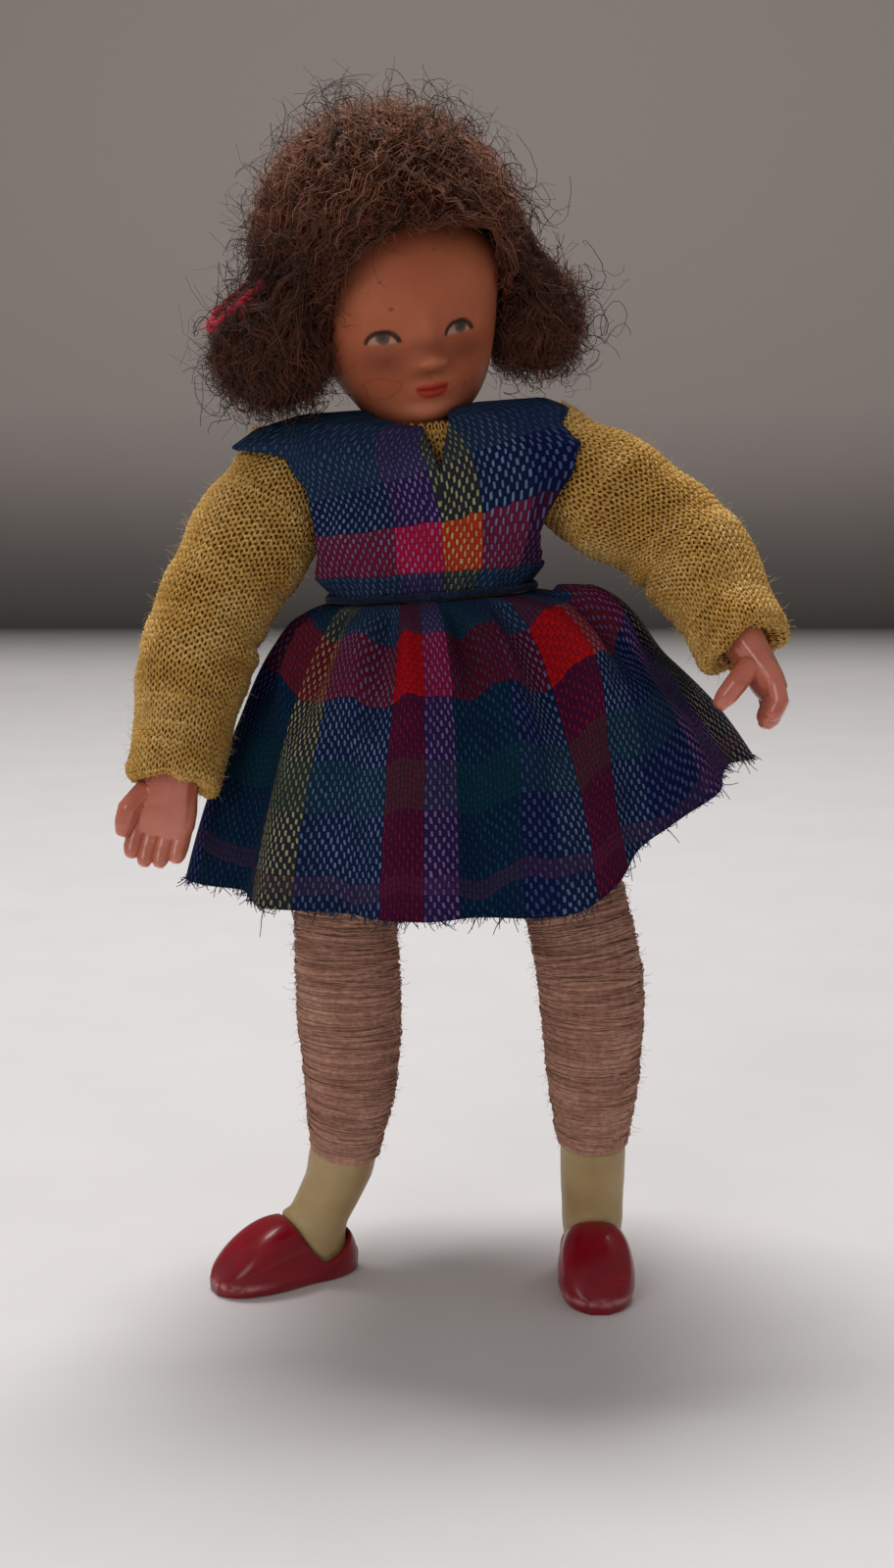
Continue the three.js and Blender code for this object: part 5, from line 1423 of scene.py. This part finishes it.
def head_rings():
    """Rings of the head from chin to crown, in its own frame, with more columns in front."""
    share = np.linspace(0, 1, HEAD_COLUMNS, endpoint=False)
    azimuth = TURN * share - 0.62 * np.sin(TURN * share) - math.pi / 2
    band = np.linspace(-1, 1, HEAD_ROWS + 2)[1:-1]
    polar = (band * 0.86 + 0.14 * band**3) * math.pi / 2
    around, up = np.meshgrid(azimuth, polar)
    px, py, pz = np.cos(up) * np.cos(around), np.cos(up) * np.sin(around), np.sin(up)
    fuller = LEFT_TEMPLE * bell(pz, 0.5, 0.38) + LEFT_JAW * bell(pz, -0.8, 0.3)
    x = HEAD_HALF[0] * px * (1 - JAW_TAPER * ease(-pz, 0.2, 1)) * (1 + fuller * ease(px, -0.3, 0.5))
    z = HEAD_HALF[2] * pz * (1 + CHIN_DROP * ease(-pz, 0.45, 0.95))
    front = ease(-py, 0.1, 0.6)
    back = np.where(py > 0, 1 - 0.25 * ease(-pz, 0.3, 1), 1)
    chin = 0.5 * front * ease(-pz, 0.5, 0.85)
    y = HEAD_HALF[1] * py * back - chin - front * relief(x, z, RELIEF + FINE_RELIEF)
    return np.stack([x, y, z], -1)


def paint_face(piece, local):
    """Masks of the painted features, by their places on the face in the head's own frame."""
    x, z = local[:, 0], local[:, 2]
    front = ease(-local[:, 1], 2.0, 4.0)
    lash, iris, pupil, sclera, clear_of_shade_and_grime = (np.full(len(x), start) for start in (0.0, 0.0, 0.0, 0.0, 1.0))

    def disc(cx, cz, half_width, half_height, soft=0.08):
        return 1 - ease(np.hypot((x - cx) / half_width, (z - cz) / half_height), 1 - soft, 1 + soft)

    def smudge(cx, cz, half_width, half_height):
        return bell(x, cx, half_width) * bell(z, cz, half_height)

    for cx, gaze in EYES:
        above = ease(z, EYE_CORNER - 0.06, EYE_CORNER + 0.06)
        lid = disc(cx, EYE_CORNER, EYE_HALF, LID_RISE, 0.05) * above
        opening = disc(cx - 0.06, EYE_CORNER - 0.05, EYE_HALF - 0.3, LID_RISE - 0.34, 0.07)
        lash = np.maximum(lash, lid * (1 - opening * above))
        sclera = np.maximum(sclera, opening * ease(z, EYE_CORNER - 0.12, EYE_CORNER + 0.08))
        iris = np.maximum(iris, disc(gaze, IRIS_HEIGHT, IRIS_RADIUS, IRIS_RADIUS, 0.12))
        pupil = np.maximum(pupil, disc(gaze, IRIS_HEIGHT, PUPIL_RADIUS, PUPIL_RADIUS, 0.4))
        # Darkening under the eyes, between them and under the nose: painted shade with some grime
        clear_of_shade_and_grime = clear_of_shade_and_grime * (1 - 0.9 * smudge(cx + 0.1 * np.sign(cx), -2.3, 1.9, 1.15))
    clear_of_shade_and_grime = clear_of_shade_and_grime * (1 - 0.7 * smudge(-0.2, -1.5, 1.5, 0.7)) * (1 - 0.75 * smudge(-0.1, -3.6, 1.6, 0.5))
    across = x / HALF_LIP
    bow = -4.42 + 0.12 * np.cos(2.6 * across) - 0.14 * bell(across, -0.1, 0.22)
    lower_edge = -4.78 - 0.84 * np.sqrt(np.clip(1 - across**2, 0, 1))
    lips = ease(bow - z, -0.08, 0.08) * ease(z - lower_edge, -0.08, 0.08)
    from_spot = x - STAIN_PLACE[0], z - STAIN_PLACE[1]
    around = np.arctan2(from_spot[1], from_spot[0])
    edge = STAIN_RADIUS + 0.14 * np.sin(3 * around + 1) + 0.08 * np.sin(5 * around)
    ring = bell(np.hypot(from_spot[0], from_spot[1] * 1.25), edge, 0.08)
    scrape = bell(x, 2.6 + 0.12 * np.sin(6 * z), 0.09) * bell(z, -5.1, 0.38)
    spots = [disc(cx, cz, radius, 0.7 * radius, 0.4) for cx, cz, radius in SPOTS]
    masks = {
        "lash": lash, "iris": iris, "pupil": pupil, "sclera": sclera, "shade_and_grime": 1 - clear_of_shade_and_grime,
        # Painted light on the nose tip and under the chin
        "painted_light": np.maximum(smudge(-0.1, -2.75, 0.95, 0.36), 0.75 * smudge(-0.2, -6.5, 3.0, 1.15)),
        "blush": np.maximum(smudge(-3.6, -2.9, 2.0, 1.7), smudge(3.4, -2.9, 2.0, 1.7)),
        "lips": lips * (1 - ease(np.abs(across), 0.94, 1.02)),
        "lip_line": bell(z, -4.88 + 0.1 * across**2, 0.12) * (1 - ease(np.abs(across), 0.75, 1.0)),
        "stain": np.max([0.55 * ring, 0.8 * scrape, *spots], 0),
    }
    for mask, values in masks.items():
        set_mask(piece, mask, values * front)


def head(materials):
    piece = point_outwards(solid_of_rows("head_cast", from_head(head_rings())))
    neck_foot = into_head(NECK_PIVOT)
    angle = full_turn(48)
    rings = np.array([
        neck_foot + np.stack([radius * np.cos(angle), radius * np.sin(angle), np.full(len(angle), height)], -1)
        for height, radius in NECK_PROFILE
    ])
    neck = point_outwards(solid_of_rows("head_neck", from_head(rings)))
    piece = joined("head_cast", [piece, neck])
    paint_face(piece, into_head(vertex_places(piece)))
    give(piece, materials["face"])
    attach(piece, "head")
    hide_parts("head_shell")


# Hair
LOCK_STRANDS = 7
LOCK_POINTS = 14
HAIR_RADIUS = 0.044
CAP_LOCKS, CAP_PIECES = 350, 4
CAP_LOWEST = -6.0
# Each bunch's seed and number of locks, and what hangs below its middle
BUNCH_LOCKS = {"right": (91, 175), "left": (92, 140)}
BUNCH_HANG = 0.16
ROOT_LOCKS = 95
# Painted shade: the wig's colour darkens below its top between these heights
WIG_SHADE_LOW, WIG_SHADE_HIGH = 78, 90
FRIZZ_PER_MM2 = {"wig_cap": 6.8, "wig_bunch_right": 8.5, "wig_bunch_left": 8.5}
MATTED_SHRINK = {"wig_cap": 0.55, "wig_bunch_right": 0.6, "wig_bunch_left": 0.55}
# The face's opening is squarer and wider on the doll's left
FACE_POWER = {"right": 2.7, "left": 8.0}
FACE_LEFT_WIDER = 0.5


def on_ball(around, height):
    """Directions by their heading and by their height from -1 to 1."""
    flat = np.sqrt(1 - height**2)
    return np.stack([flat * np.cos(around), flat * np.sin(around), height], -1)


def from_pole(polar, azimuth):
    """Directions by their angle from the top and by their heading."""
    return np.stack([np.sin(polar) * np.cos(azimuth), np.sin(polar) * np.sin(azimuth), np.cos(polar)], -1)


def curled(paths, outward, random, amplitude, waves, lock_spread):
    """Locks of wavy strands along paths, an array of locks by points by three."""
    locks, points, _ = paths.shape
    tangent = unit(np.gradient(paths, axis=1))
    beside = unit(np.cross(tangent, outward))
    share = np.linspace(0, 1, points)[None, :]
    phase = random.uniform(0, TURN, (locks, 1))
    turns = waves * random.uniform(0.75, 1.3, (locks, 1))
    grow = amplitude * random.uniform(0.55, 1.3, (locks, 1)) * (0.35 + 0.65 * share)
    turn = random.choice([-1, 1], (locks, 1))
    lift = grow * np.cos(phase + turns * TURN * share)
    slide = turn * grow * np.sin(phase + turns * TURN * share)
    spine = paths + outward * (0.75 * lift)[..., None] + beside * slide[..., None]
    strand = []
    for _ in range(LOCK_STRANDS):
        away = random.normal(0, lock_spread, (locks, 2, 1)) * (0.5 + 0.9 * share)[:, None, :]
        fine = random.uniform(0, TURN, (locks, 1))
        ripple = 0.25 * amplitude * np.sin(fine + 2.3 * turns * TURN * share)
        strand.append(spine + outward * (away[:, 0] + ripple)[..., None] + beside * away[:, 1][..., None])
    return np.concatenate(strand)


def hair_strands(name, lines, random, radius, material, seed):
    """Hair along lines of the head's frame, on the head, with painted shade that darkens it where it lies lower on
    the wig.
    """
    lines = from_head(lines)
    count, points, _ = lines.shape
    share = np.linspace(0, 1, points)[None, :]
    # Painted shade: the reach and shade masks darken lower on the wig
    lit = 0.36 + 0.64 * ease(lines[..., 2], WIG_SHADE_LOW, WIG_SHADE_HIGH)
    masks = {"reach": share * lit, "shade": random.random((count, 1)) * lit}
    piece = strands(name, lines, radius, material, sides=3, thickness=1.0 - 0.55 * share,
                    loose=0.3 + 0.7 * share, frizz=0.8, frizz_scale=1300.0, seed=seed, masks=masks)
    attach(piece, "head")


def face_power(x):
    return np.where(x > 0, FACE_POWER["left"], FACE_POWER["right"])


def face_window(x, z):
    """Below 1 inside the opening that the hair leaves for the face."""
    half = np.where(x > 0, FACE_HALF[0] + FACE_LEFT_WIDER, FACE_HALF[0])
    power = face_power(x)
    return (np.abs(x) / half) ** power + (np.abs(z - FACE_CENTRE_Z) / FACE_HALF[1]) ** power


def over_face(points, size):
    """Whether points of the head's frame lie in front of it, within a size of the face's opening."""
    return (face_window(points[..., 0], points[..., 2]) < size) & (points[..., 1] < 0)


def outside_face(points):
    """Pushes points of the head's frame out of the face's opening, to its edge."""
    x, z = points[..., 0], points[..., 2]
    nearest = np.maximum(face_window(x, z), 0.05)
    factor = np.where(over_face(points, 1), nearest ** (-1 / face_power(x)), 1.0)
    moved = points.copy()
    moved[..., 0] = x * factor
    moved[..., 2] = FACE_CENTRE_Z + (z - FACE_CENTRE_Z) * factor
    return moved


def cap_hair(materials):
    """Mohair combed from the parting to the bunches, in wavy locks over the cap."""
    random = np.random.default_rng(81)
    locks = int(CAP_LOCKS * THINNING)
    around = random.uniform(0, TURN, 6 * locks)
    heading = on_ball(around, random.uniform(-0.85, 1.0, 6 * locks))
    root = CAP_CENTRE + CAP_HALF * heading * 0.9
    heading = heading[~over_face(root, 1.0) & (root[:, 2] > CAP_LOWEST)][:locks]
    locks = len(heading)
    layer = random.uniform(0.86, 0.985, (locks, 1))
    right_root = BUNCHES["right"][0] + TIE_DIRECTION * TIE_HEIGHT
    left_root = BUNCHES["left"][0] + TIE_DIRECTION * (-1, 1, 1) * 3.4
    start = CAP_CENTRE + CAP_HALF * heading * layer
    goal = np.where((start[:, :1] + random.normal(0, 1.2, (locks, 1))) < 0.4, right_root, left_root)
    paths, normals = [start], [unit(heading / CAP_HALF)]
    length = random.uniform(6.5, 12.5, (locks, 1))
    for _ in range(LOCK_POINTS - 1):
        here, normal = paths[-1], normals[-1]
        pull = unit(goal - here) + np.array([0, 0, -0.55]) + random.normal(0, 0.1, (locks, 3))
        along = unit(pull - normal * np.sum(pull * normal, 1, keepdims=True))
        heading = unit((here + along * length / LOCK_POINTS - CAP_CENTRE) / CAP_HALF)
        layer = np.minimum(layer + 0.0035, 1.0)
        paths.append(CAP_CENTRE + CAP_HALF * heading * layer)
        normals.append(unit(heading / CAP_HALF))
    lines = curled(outside_face(np.stack(paths, 1)), np.stack(normals, 1), random, 0.36, 4.2, 0.3)
    for i, part in enumerate(np.array_split(random.permutation(len(lines)), CAP_PIECES)):
        hair_strands(f"hair_cap_{i + 1}", lines[part], random, HAIR_RADIUS, materials["hair"], 82 + i)


def bunch_hair(word, materials):
    """Curled locks that hang round a bunch, and those that gather from the cap into it."""
    centre, size = BUNCHES[word]
    seed, locks = BUNCH_LOCKS[word]
    random = np.random.default_rng(seed)
    locks = int(locks * THINNING)
    around = random.uniform(0, TURN, (locks, 1))
    twist = random.normal(0, 0.9, (locks, 1))
    share = np.linspace(0, 1, LOCK_POINTS)[None, :]
    low = random.uniform(1.5, 2.75, (locks, 1))
    outward = from_pole(0.25 + (low - 0.25) * share, around + twist * share)
    layer = random.uniform(0.55, 0.98, (locks, 1)) + 0.04 * share
    paths = size * outward * layer[..., None]
    paths[..., 2] *= 1 + BUNCH_HANG * ease(-outward[..., 2], 0, 0.8)
    paths = centre + paths + np.array(BUNCH_SHIFT[word])
    lines = curled(paths, unit(outward / size), random, 0.42, 3.8, 0.3)
    hair_strands(f"hair_bunch_{word}", lines, random, HAIR_RADIUS, materials["hair"], 93)
    lines = root_locks(SIDES[word], centre, size)
    hair_strands(f"hair_root_{word}", lines, random, HAIR_RADIUS, materials["hair"], 94)


def root_locks(side, centre, size):
    """Locks gathered from the side of the cap into a bunch, which close the gap beside the cheek."""
    random = np.random.default_rng(97)
    locks = int(ROOT_LOCKS * THINNING)
    share = np.linspace(0, 1, 12)[None, :, None]
    mirror = np.array([side, -1, 1])
    around = random.uniform(-0.5, 0.75, locks)
    start = CAP_CENTRE + CAP_HALF * 0.93 * mirror * on_ball(around, random.uniform(-0.62, 0.35, locks))
    polar = random.uniform(0.5, 2.3, locks)
    outward = mirror * from_pole(polar, random.uniform(-1.3, 1.7, locks))
    end = centre + size * outward * random.uniform(0.75, 0.97, (locks, 1))
    bow = np.stack([np.zeros(locks), -random.uniform(0.2, 1.1, locks), random.uniform(-0.9, 0.3, locks)], -1)
    paths = start[:, None] * (1 - share) + end[:, None] * share + bow[:, None] * np.sin(np.pi * share)
    normals = unit(np.array([0.3 * side, -1.0, 0.1])) * np.ones_like(paths)
    return curled(outside_face(paths), normals, random, 0.4, 2.6, 0.28)


def flyaways(materials):
    """Long single hairs that stand away from the wig in loose curls."""
    random = np.random.default_rng(101)
    areas = (
        (CAP_CENTRE, CAP_HALF, 230, (-0.35, 1.0)),
        (*BUNCHES["right"], 84, (-1.0, 1.0)),
        (*BUNCHES["left"], 64, (-1.0, 1.0)),
    )
    share = np.linspace(0, 1, 26)[None, :, None]
    lines = []
    for centre, half, count, heights in areas:
        around = random.uniform(0, TURN, count)
        heading = on_ball(around, random.uniform(*heights, count))
        root = centre + half * heading * 0.95
        keep = ~over_face(root, 1.5)
        root, outward = root[keep][:, None], unit(heading[keep] / half)[:, None]
        size = (len(root), 1, 1)
        beside = unit(np.cross(outward, random.normal(0, 1, (len(root), 1, 3))))
        across = np.cross(outward, beside)
        reach = random.uniform(0.5, 3.3, size) * share ** random.uniform(0.5, 1.1, size)
        drift = random.normal(0, 2.4, size) * share**1.5
        phase, turns = random.uniform(0, TURN, size), random.uniform(0.8, 2.2, size)
        curl = random.uniform(0.5, 1.6, size) * share**0.6
        swing = phase + turns * TURN * share
        path = root + outward * (reach + 0.5 * curl * np.sin(swing)) + beside * (drift + curl * np.cos(swing))
        lines.append(path + across * curl * np.sin(swing + 0.9))
    lines = np.concatenate(lines)
    lines = lines[:int(len(lines) * FLYAWAY_SHARE)]
    hair_strands("hair_flyaways", lines, random, 0.05, materials["stray"], 102)


def hair_base(materials):
    """Dense matted mohair under the loose locks, with its frizz and single hairs."""
    for part, shrink in MATTED_SHRINK.items():
        base = softened_copy(part, part.replace("wig", "mohair"), 0.3, 8, shrink)
        places = from_head(outside_face(into_head(vertex_places(base))))
        x, y, z = places.T
        rough = 0.2 * np.sin(5.1 * x + 1.7 * np.sin(4.3 * z)) * np.sin(4.7 * y)
        set_places(base, places + vertex_normals(base) * rough[:, None])
        set_mask(base, "reach", np.full(len(places), 0.25))
        set_mask(base, "shade", np.full(len(places), 0.3))
        give(base, materials["matted"])
        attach(base, "head")
        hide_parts(part)
        # The doll's right bunch takes the frizz darkened as painted shade
        fibre = materials["bunch_frizz" if part == "wig_bunch_right" else "frizz"]
        middle = from_head(CAP_CENTRE if part == "wig_cap" else BUNCHES[part.split("_")[-1]][0]) * MM
        frizz = nap(f"{base.name}_frizz", base, FRIZZ_PER_MM2[part], 1.9, 0.036, fibre, lean=1.8, curl=1.3,
                    seed=96, curl_scale=1900.0, centre=middle)
        stray = nap(f"{base.name}_flyaway", base, 1.0, 3.2, 0.028, materials["stray"], lean=1.4, curl=2.4,
                    points=9, seed=95, curl_scale=1000.0, centre=middle)
        for piece in (frizz, stray):
            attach(piece, "head")


TIE_TURNS = 2.3
TIE_TURN_POINTS = 40


def yarn_tie(materials):
    """Red yarn of three plies wound round the root of the doll's right bunch, with one loose end."""
    random = np.random.default_rng(99)
    up = unit(TIE_DIRECTION)
    across = unit(np.cross(up, [0, 1.0, 0]))
    beside = np.cross(up, across)
    centre = BUNCHES["right"][0] + up * TIE_HEIGHT
    count = int(TIE_TURNS * TIE_TURN_POINTS)
    angle = np.linspace(0, TIE_TURNS * TURN, count)
    rise = 0.35 * np.sin(angle * 0.5) + 0.1 * random.normal(0, 1, count)
    spoke = np.cos(angle)[:, None] * across + np.sin(angle)[:, None] * beside
    radius = (TIE_RADIUS + 0.12 * np.sin(2.2 * angle)) * (1 - 0.5 * ease(-spoke[:, 1], 0.0, 0.7))
    ring = centre + radius[:, None] * spoke + rise[:, None] * up
    end = ring[-1] + np.outer(np.linspace(0.1, 1, 16) ** 1.2, [-1.4, -1.0, -3.4])
    end = end + 0.25 * np.sin(np.linspace(0, 7, 16))[:, None] * across
    line = np.vstack([ring, end])
    tangent = unit(np.gradient(line, axis=0))
    side_a = unit(np.cross(tangent, up + 0.01))
    side_b = np.cross(tangent, side_a)
    along = np.arange(len(line)) * 0.85
    plies = [
        line + 0.2 * (np.cos(along + ply)[:, None] * side_a + np.sin(along + ply)[:, None] * side_b)
        for ply in (0, TURN / 3, 2 * TURN / 3)
    ]
    yarn = strands("tie_plies", from_head(np.array(plies)), 0.26, materials["tie"], sides=6, frizz=0.08,
                   frizz_scale=1800.0, seed=9)
    fuzz = nap("tie_fuzz", yarn, 7.0, 0.8, 0.014, materials["tie_fuzz"], lean=1.4, curl=1.2, seed=98)
    piece = joined("tie_yarn", [yarn, fuzz])
    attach(piece, "head")
    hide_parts("wig_tie")


STAGE_HALF, STAGE_FRONT, WALL_PLACE, WALL_HEIGHT = 900, -600, 620, 900


def stage():
    """Table and wall."""
    left, right = (-STAGE_HALF, WALL_PLACE), (STAGE_HALF, WALL_PLACE)
    quads = {
        "floor": [(-STAGE_HALF, STAGE_FRONT, 0), (STAGE_HALF, STAGE_FRONT, 0), (*right, 0), (*left, 0)],
        "wall": [(*left, 0), (*right, 0), (*right, WALL_HEIGHT), (*left, WALL_HEIGHT)],
    }
    floor, wall = (mesh_object(name, corners, [(0, 1, 2, 3)]) for name, corners in quads.items())
    give(floor, floor_material())
    give(wall, wall_material())


CAMERA_PLACE = (-0.1, -153.1, 66.6)
CAMERA_PITCH = 9.5
CAMERA_LENS = 45
LAMPS = {
    "key": ((-40, 150, 560), (0, 0, 40), (440, 170), 2.5),
    "fill": ((-190, -320, 210), (0, 0, 50), (240, 240), 0.3),
}
WORLD_COLOUR, WORLD_STRENGTH = (1.0, 0.97, 0.95, 1.0), 0.27


def camera():
    data = bpy.data.cameras.new("camera")
    data.sensor_fit = "AUTO"
    data.sensor_width = 36
    data.lens = CAMERA_LENS
    data.clip_start = 0.005
    data.clip_end = 10
    made = linked("camera", data)
    made.location = Vector(CAMERA_PLACE) * MM
    made.rotation_euler = (math.radians(90 - CAMERA_PITCH), 0, 0)
    bpy.context.scene.camera = made


def lamp(name, place, target, size, power):
    data = bpy.data.lights.new(name, "AREA")
    data.shape = "ELLIPSE"
    data.size, data.size_y = size[0] * MM, size[1] * MM
    data.energy = power
    made = linked(name, data)
    made.location = Vector(place) * MM
    aim = Vector(target) * MM - made.location
    made.rotation_euler = aim.to_track_quat("-Z", "Y").to_euler()


def light():
    world = bpy.data.worlds.new("studio")
    world.use_nodes = True
    background = world.node_tree.nodes["Background"]
    background.inputs["Color"].default_value = WORLD_COLOUR
    background.inputs["Strength"].default_value = WORLD_STRENGTH
    bpy.context.scene.world = world
    for name, values in LAMPS.items():
        lamp(name, *values)
    bpy.context.scene.view_settings.view_transform = "Standard"


ARMS = {word: Limb(joints) for word, joints in ARM_JOINTS.items()}
LEGS = {word: Limb(joints) for word, joints in LEG_JOINTS.items()}
NECK_PIVOT = next(np.array(j["pos_m"]) / MM for j in frame["joints"] if j["name"] == "neck_nod")

# Stripes of the plaid, each from its place in millimetres to the next, and how much of the warp shows
BODICE_WARP = (
    (-28, NAVY_WARP), (-13.5, STEEL_WARP), (-2.6, PURPLE_WARP), (1.05, OLIVE_WARP),
    (4.05, STEEL_WARP), (7.7, NAVY_WARP), (13.5, RED_WARP), (17.5, PURPLE_WARP), (21.0, STEEL_WARP),
)
BODICE_WEFT = (
    (0, SLATE_WEFT), (1.9, RED_WEFT), (5.5, NAVY_WEFT), (9.2, SLATE_WEFT), (15.0, TEAL_WEFT),
)
BODICE_SHOWN = ((0, 0.6), (1.9, 0.85), (5.5, 1.0), (9.2, 0.5), (13.0, 0.3))
BODICE_RED = (1.9, 5.5, (
    (-28, (70, 16, 44)), (-13.5, (112, 22, 48)), (-2.6, (178, 16, 58)), (1.05, (186, 52, 20)),
    (4.05, (112, 26, 56)), (7.7, (62, 14, 44)), (13.5, (120, 16, 36)), (17.5, (100, 20, 60)),
))
SKIRT_WARP = (
    (-31.5, NAVY_WARP), (-26, TEAL_WARP), (-18.2, OLIVE_WARP), (-13.4, STEEL_WARP), (-6.2, RED_WARP),
    (-3.3, PURPLE_WARP), (-1.0, TEAL_WARP), (3.6, NAVY_WARP), (5.6, STEEL_WARP), (8.0, RED_WARP),
    (11.2, STEEL_WARP), (14.5, NAVY_WARP), (18.0, PURPLE_WARP), (24.5, CREAM_WARP),
)
SKIRT_WEFT = (
    (0, SLATE_WEFT), (4.3, MAROON_WEFT), (9.6, NAVY_WEFT), (14.2, TEAL_WEFT), (18.0, NAVY_WEFT),
    (22.5, PLUM_WEFT), (24.0, NAVY_WEFT),
)
SKIRT_SHOWN = ((0, 0.55), (4.3, 0.7), (9.6, 0.95), (14.2, 0.55), (18.0, 0.9), (22.5, 0.5), (24.0, 0.8))
SKIRT_RED = (4.3, 9.6, (
    (-31.5, (84, 14, 38)), (-26, (150, 14, 26)), (-22.0, (108, 20, 40)), (-18.2, (112, 26, 38)),
    (-13.4, (104, 20, 46)), (-6.2, (178, 12, 20)), (-3.3, (134, 16, 62)), (-1.0, (84, 12, 38)),
    (3.6, (92, 14, 42)), (8.0, (184, 16, 22)), (11.2, (140, 34, 34)), (14.5, (100, 22, 40)),
    (18.0, (92, 18, 54)), (24.5, (112, 40, 34)),
))

# Yarns by material: middle, light and dark colour, scale of the fibre and sheen
YARNS = {
    "jersey": ("mustard jersey", (208, 162, 82), (234, 198, 130), (182, 132, 56)),
    # The jersey shadow yarn colours the cores under the stitches dark as painted shade
    "jersey_shadow": ("mustard jersey painted shade", (90, 54, 12), (112, 70, 20), (66, 36, 6)),
    "jersey_fuzz": ("mustard lint", (220, 184, 116), (240, 212, 156), (196, 154, 84), 3000.0, 0.25),
    "leg_yarn": ("flesh yarn", (186, 138, 118), (208, 164, 144), (162, 114, 96), 2600.0),
    # The leg shadow yarn colours the core under the windings as painted shade
    "leg_shadow": ("flesh yarn painted shade", (176, 128, 108), (194, 148, 128), (150, 104, 86), 2600.0),
    "leg_fuzz": ("flesh lint", (206, 162, 142), (228, 192, 174), (172, 128, 108), 3000.0, 0.25),
    "cotton": ("padding cotton", (196, 184, 164), (216, 206, 190), (168, 154, 132)),
    "tie": ("red yarn", (196, 44, 62), (226, 100, 112), (140, 24, 42)),
    "tie_fuzz": ("red lint", (220, 100, 112), (236, 150, 156), (190, 60, 76), 3000.0, 0.25),
    # The seam is coloured dark as painted shade of the crease under the bodice
    "seam": ("seam thread painted shade", (20, 32, 58), (36, 50, 78), (10, 16, 32)),
}
# Hairs by material: colours at root, middle and tip, roughness, shine and painted light on top of the wig
HAIRS = {
    "fringe": ("cut threads", (8, 20, 64), (34, 56, 84), (110, 120, 150)),
    "hair": ("mohair", (32, 15, 8), (122, 68, 45), (226, 168, 130), 0.5, 0.35),
    "matted": ("matted mohair", (22, 10, 6), (70, 38, 26), (110, 66, 46), 1.0, 0.02),
    "frizz": ("mohair frizz", (80, 42, 27), (144, 82, 56), (220, 164, 130), 0.45, 0.5, 0.36),
    # The bunch frizz is a copy of the frizz, darkened as painted shade
    "bunch_frizz": ("bunch frizz painted shade", (42, 23, 15), (86, 54, 40), (170, 132, 108), 0.45, 0.35),
    "stray": ("stray mohair", (34, 20, 15), (56, 36, 27), (96, 68, 54), 0.5, 0.3),
}

materials = {key: spun(*values) for key, values in YARNS.items()}
materials.update({key: hair_material(*values) for key, values in HAIRS.items()})
materials["bodice_plaid"] = plaid(
    "bodice plaid", BODICE_WARP, BODICE_WEFT, BODICE_SHOWN, BODICE_RED, (-28, 28), (0, 24),
)
materials["skirt_plaid"] = plaid(
    "skirt plaid", SKIRT_WARP, SKIRT_WEFT, SKIRT_SHOWN, SKIRT_RED, (-31.5, 31.5), (0, 32),
)
materials["hand"] = moulded(
    "hand flesh", (208, 122, 98), (190, 98, 76), (236, 180, 160), 0.24, coat=0.6, subsurface=0.05,
)[0]
materials["sock"] = sock_material()
materials["shoe"] = shoe_material()
materials["face"] = face_material()

for word in SIDES:
    sleeve(word, materials)
    arm_padding(word, materials)
    leg(word, materials)
jumper(materials)
body_padding(materials)
skirt(materials)
bodice(materials)
waist_seam(materials)
hands(materials)
feet(materials)
head(materials)
hair_base(materials)
cap_hair(materials)
for word in BUNCHES:
    bunch_hair(word, materials)
flyaways(materials)
yarn_tie(materials)

wire, cork = wire_material(), cork_material()
for name, cad_node in frame["nodes"].items():
    if "wire" in name:
        give(cad_node, wire)
    elif name == "neck_plug":
        give(cad_node, cork)

stage()
light()
camera()
